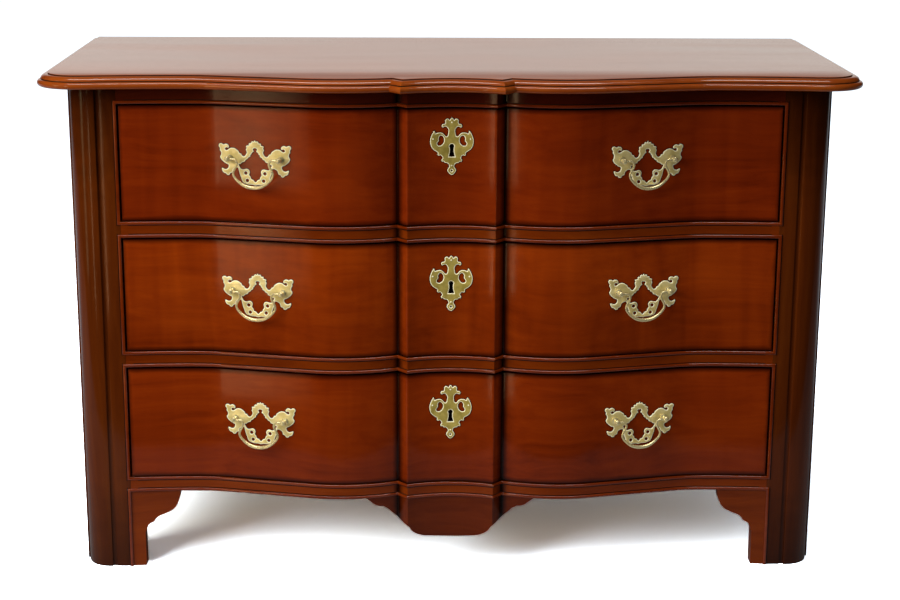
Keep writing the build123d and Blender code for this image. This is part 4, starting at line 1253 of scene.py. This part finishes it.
class CHEST_OT_heads(bpy.types.Operator):
    """Makes the turned posts that carry the bails, with their nuts behind the front"""

    bl_idname = "chest.heads"
    bl_label = "Handle Posts"

    def execute(self, context):
        low = leaf_gap + leaf_thickness
        height = head_height + head_radius - low
        ball = 2 * head_radius / height
        profile = [(0, 1.0), (0.09, 1.0), (0.125, 0.82), (0.16, 0.52)]
        for share, radius in ((0.99, 0.52), (0.92, 0.62), (0.75, 0.80), (0.5, 0.85), (0.25, 0.76), (0.08, 0.48)):
            profile.append((1 - ball * share, radius))
        tree = turned_tree("Turned Head", profile + [(1, 0.12)])
        for number in drawer_numbers:
            matrices = [
                handle_matrix(number, side) @ Matrix.Translation((end * post_spacing / 2, 0, 0))
                for side in (1, -1) for end in (-1, 1)
            ]
            places = [matrix @ Vector((0, 0, low)) for matrix in matrices]
            directions = [matrix.to_3x3() @ Vector((0, 0, 1)) for matrix in matrices]
            piece = turned_pieces(f"drawer_{number}_turned_posts", places, directions, tree, height,
                                  collar_radius, 28, 44, "bail_brass")
            self.add_shanks(piece, matrices)
            ridden(smooth(piece, 45), f"drawer_{number}", [f"drawer_{number}_handle_posts"])
        return {"FINISHED"}

    def add_shanks(self, piece, matrices):
        """Adds each post's shank and square nut behind the front."""
        bm = bmesh.new()
        bm.from_mesh(piece.data)
        shank = Matrix.Translation((0, 0, sum(shank_ends) / 2))
        nut = Matrix.Translation((0, 0, nut_level)) @ Matrix.Diagonal((nut_width, nut_width, nut_thickness, 1))
        for matrix in matrices:
            bmesh.ops.create_cone(bm, cap_ends=True, segments=12, radius1=shank_radius, radius2=shank_radius,
                                  depth=shank_ends[1] - shank_ends[0], matrix=matrix @ shank)
            bmesh.ops.create_cube(bm, size=1, matrix=matrix @ nut)
        bm.to_mesh(piece.data)
        bm.free()


# The bail: half of its centre line from the middle of the grip to the end of the pin, with its thickness share
bail_points = [
    (0, -42.5, 1.0), (7, -41.9, 0.96), (14, -39.8, 0.8), (20, -36.3, 0.5), (25.5, -31.6, 0.22),
    (29.5, -26.6, 0.06), (31, -22, 0), (30, -17.5, 0), (27.2, -12.4, 0), (25.2, -8.2, 0), (25.1, -4.6, 0),
    (26.6, -1.4, 0), (29.6, 0, 0), (34, 0, 0), (43, 0, 0),
]


def bail_tree():
    """A bar of uneven thickness along a path, whose points carry their own radius."""
    nodes, given = new_group("Bail Bar", {
        "Geometry": "Geometry", "Sides": 16, "Smooth Steps": 96, "Finish": "Material",
    }, {"Geometry": "Geometry"}, "Geometry")
    path = nodes.out("GeometryNodeMeshToCurve", {"Mesh": given["Geometry"]})
    width = nodes.out("GeometryNodeInputNamedAttribute", {"Name": "thickness"}, data_type="FLOAT")
    path = nodes.out("GeometryNodeSetCurveRadius", {"Curve": path, "Radius": width})
    path = nodes.out("GeometryNodeCurveSplineType", {"Curve": path}, spline_type="CATMULL_ROM")
    path = nodes.out("GeometryNodeResampleCurve", {"Curve": path, "Count": given["Smooth Steps"]})
    return finish_tree(nodes, round_bar(nodes, path, given), given)


class CHEST_OT_bails(bpy.types.Operator):
    """Makes the swinging bails"""

    bl_idname = "chest.bails"
    bl_label = "Bails"

    def execute(self, context):
        tree = bail_tree()
        thin, thick = sizes().pin_radius, sizes().grip_radius
        half = [(x * mm, y * mm, thin + (thick - thin) * share) for x, y, share in bail_points]
        path = [(-x, y, radius) for x, y, radius in reversed(half[1:])] + half
        edges = [(index, index + 1) for index in range(len(path) - 1)]
        widths = [radius for _, _, radius in path]
        for number in drawer_numbers:
            for name, side in sides:
                matrix = handle_matrix(number, side, head_height)
                places = [matrix @ Vector((x, y, 0)) for x, y, _ in path]
                piece = point_holder(f"drawer_{number}_{name}_swan_bail", places, "thickness", "FLOAT", widths, edges)
                run_tree(piece, tree, {"Sides": 16, "Smooth Steps": 110, "Finish": finishes["bail_brass"]})
                ridden(smooth(piece, 50), f"bail_{number}_{name}", [f"drawer_{number}_{name}_bail"])
        return {"FINISHED"}


class CHEST_OT_nails(bpy.types.Operator):
    """Makes the small brass nails of the escutcheons and the nails of the back boards"""

    bl_idname = "chest.nails"
    bl_label = "Nails"

    def execute(self, context):
        tree = turned_tree("Domed Nail", [(0, 1.0), (0.35, 0.94), (0.7, 0.7), (0.9, 0.42), (1, 0.1)])
        spots = ((0, 0.84), (0, -0.68), (-0.86, 0.26), (0.86, 0.26))
        for number in drawer_numbers:
            places, directions = [], []
            for share_x, share_z in spots:
                x = share_x * escutcheon_half_width
                y = front_y(x) - leaf_gap - leaf_thickness - 0.05 * mm
                places.append((x, y, keyhole_level(number) + share_z * escutcheon_rise))
                directions.append((-x / block_radius, -1, 0))
            # The nail heads take the pale brass painted as a highlight
            piece = turned_pieces(f"drawer_{number}_escutcheon_nails", places, directions, tree, 0.8 * mm,
                                  sizes().nail_radius, 14, 8, "brass_rub_and_highlight")
            ridden(smooth(piece, 60), f"drawer_{number}")
        low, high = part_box("back_boards")
        pitch = (high[2] - low[2]) / 3
        places = [
            (x, high[1] - 0.6 * mm, low[2] + (board + share) * pitch)
            for board in range(3) for share in (0.2, 0.8) for x in (low[0] + 5 * mm, high[0] - 5 * mm)
        ]
        piece = turned_pieces("back_board_nails", places, [(0, 1, 0)] * len(places), tree, 0.5 * mm, 2.2 * mm, 12, 6,
                              "steel")
        ridden(smooth(piece, 60), "carcase")
        return {"FINISHED"}


# Stage

# Each lamp's place, target, width, height, power, whether polished surfaces show it, and colour
lamps = {
    "left_key": ((-2.1, -1.75, 1.7), (-0.35, -0.2, 0.5), 1.9, 1.5, 72, False, (1, 1, 1)),
    "left_strip": ((-2.4, -1.3, 0.9), (-0.6, -0.2, 0.45), 0.35, 1.6, 5, True, (0.95, 0.8, 0.4)),
    "overhead_strip": ((-0.1, -0.75, 2.9), (-0.1, -0.1, 0.6), 2.4, 0.35, 42, True, (1, 1, 1)),
    "low_window": ((-1.95, -2.9, 0.5), (-0.28, -0.2, 0.55), 0.17, 1.5, 6.5, True, (1, 0.66, 0.34)),
}


class CHEST_OT_stage(bpy.types.Operator):
    """Makes the camera, the pale floor, the world and the lamps"""

    bl_idname = "chest.stage"
    bl_label = "Stage"

    def execute(self, context):
        self.camera()
        self.floor()
        self.world()
        for name, values in lamps.items():
            self.lamp(name, *values)
        bpy.context.scene.view_settings.view_transform = "Standard"
        return {"FINISHED"}

    def lamp(self, name, place, target, width, height, power, mirrored_too, colour):
        """A soft rectangular lamp that looks at its target."""
        lamp = bpy.data.lights.new(name, "AREA")
        lamp.shape = "RECTANGLE"
        lamp.size, lamp.size_y = width, height
        lamp.energy = power
        lamp.color = colour
        holder = add_piece(name, lamp)
        holder.visible_camera = False
        holder.visible_glossy = mirrored_too
        holder.location = place
        holder.rotation_euler = (Vector(target) - Vector(place)).to_track_quat("-Z", "Y").to_euler()

    def camera(self):
        """The photograph's viewpoint."""
        yaw, pitch, roll = -0.0203, 0.2511, 0.0052
        focal_pixels, image_width = 1867.45, 900
        right = Vector((cos(yaw), sin(yaw), 0))
        ahead = Vector((-sin(yaw) * cos(pitch), cos(yaw) * cos(pitch), -sin(pitch)))
        up = Vector((-sin(yaw) * sin(pitch), cos(yaw) * sin(pitch), cos(pitch)))
        axes = (right * cos(roll) + up * sin(roll), up * cos(roll) - right * sin(roll), -ahead)
        data = bpy.data.cameras.new("camera")
        data.sensor_width = 36
        data.lens = focal_pixels * data.sensor_width / image_width
        holder = add_piece("camera", data)
        matrix = Matrix(axes).transposed().to_4x4()
        matrix.translation = (-0.0576, face_y - 2.7836, 1.1514)
        holder.matrix_world = matrix
        bpy.context.scene.camera = holder

    def floor(self):
        """A wide pale floor, white to the camera and to reflections, that keeps the chest's shadow."""
        material, nodes, shader = new_material("pale_floor")
        seen = nodes.out("ShaderNodeBsdfDiffuse", {"Color": (5.2, 5.7, 6.2, 1)})
        depth = nodes.add("ShaderNodeSeparateXYZ", {0: nodes.object_vector()}).outputs["Y"]
        ray = nodes.add("ShaderNodeLightPath").outputs
        behind = nodes.remap(depth, 0.4, 2.0, 0.15, 1.0)
        shown = nodes.larger(ray["Is Camera Ray"], ray["Is Transmission Ray"])
        reflected = nodes.times(ray["Is Glossy Ray"], nodes.times(behind, 0.27))
        mix = nodes.out("ShaderNodeMixShader", {
            0: nodes.larger(shown, reflected), 1: shader.outputs[0], 2: seen,
        })
        nodes.feed(material.node_tree.nodes["Material Output"], {"Surface": mix})
        mirrored_share = 0.25
        plain = tuple(colours().floor)
        dim = tuple(value * mirrored_share for value in plain)
        colour = nodes.blend(ray["Is Glossy Ray"], (*plain, 1), (*dim, 1))
        nodes.feed(shader, {"Base Color": colour, "Roughness": 0.9, "Specular IOR Level": 0.0})
        mesh = bpy.data.meshes.new("floor")
        mesh.from_pydata([(-14, -0.6, 0), (14, -0.6, 0), (14, 24, 0), (-14, 24, 0)], [], [(0, 1, 2, 3)])
        mesh.materials.append(material)
        floor = add_piece("floor", mesh)

    def world(self):
        """A soft light, white to the camera; reflections see white behind the chest and dark before it."""
        world = bpy.data.worlds.new("room")
        bpy.context.scene.world = world
        world.use_nodes = True
        nodes = Nodes(world.node_tree)
        direction = nodes.add("ShaderNodeTexCoord").outputs["Generated"]
        depth = nodes.add("ShaderNodeSeparateXYZ", {0: direction}).outputs["Y"]
        dark_room, bright_room, light_level = 0.01, 0.85, 0.19
        behind = nodes.remap(depth, 0.8, 0.95, dark_room, bright_room)
        ray = nodes.add("ShaderNodeLightPath").outputs
        glossy = ray["Is Glossy Ray"]
        lit = nodes.times(nodes.minus(1.0, glossy), light_level)
        level = nodes.plus(lit, nodes.times(glossy, behind))
        seen = nodes.larger(ray["Is Camera Ray"], ray["Is Transmission Ray"])
        nodes.feed(world.node_tree.nodes["Background"], {
            "Strength": nodes.larger(level, seen), "Color": nodes.blend(glossy, (1, 1, 1, 1), (1, 0.94, 0.87, 1)),
        })


class CHEST_PT_panel(bpy.types.Panel):
    """Lists the chest's sizes, colours and pieces"""

    bl_idname = "CHEST_PT_panel"
    bl_label = "Commode Chest"
    bl_space_type = "VIEW_3D"
    bl_region_type = "UI"
    bl_category = "Commode"

    def draw(self, context):
        layout = self.layout
        for group in (context.scene.chest_sizes, context.scene.chest_colours):
            box = layout.box()
            for name in group.__annotations__:
                box.prop(group, name)
        for operator in operators:
            layout.operator(operator.bl_idname)


operators = (
    CHEST_OT_stage,
    CHEST_OT_finishes,
    CHEST_OT_top,
    CHEST_OT_rails,
    CHEST_OT_beads,
    CHEST_OT_posts,
    CHEST_OT_base,
    CHEST_OT_fronts,
    CHEST_OT_plates,
    CHEST_OT_escutcheons,
    CHEST_OT_heads,
    CHEST_OT_bails,
    CHEST_OT_nails,
)
classes = (ChestSizes, ChestColours, *operators, CHEST_PT_panel)


def register():
    for cls in classes:
        bpy.utils.register_class(cls)
    bpy.types.Scene.chest_sizes = PointerProperty(type=ChestSizes)
    bpy.types.Scene.chest_colours = PointerProperty(type=ChestColours)


def unregister():
    del bpy.types.Scene.chest_colours
    del bpy.types.Scene.chest_sizes
    for cls in reversed(classes):
        bpy.utils.unregister_class(cls)


def main():
    """Builds the whole scene on the frame."""
    register()
    bpy.ops.chest.finishes()
    bpy.ops.chest.stage()
    for operator in operators[2:]:
        group, name = operator.bl_idname.split(".")
        getattr(getattr(bpy.ops, group), name)()


if __name__ == "__main__":
    main()
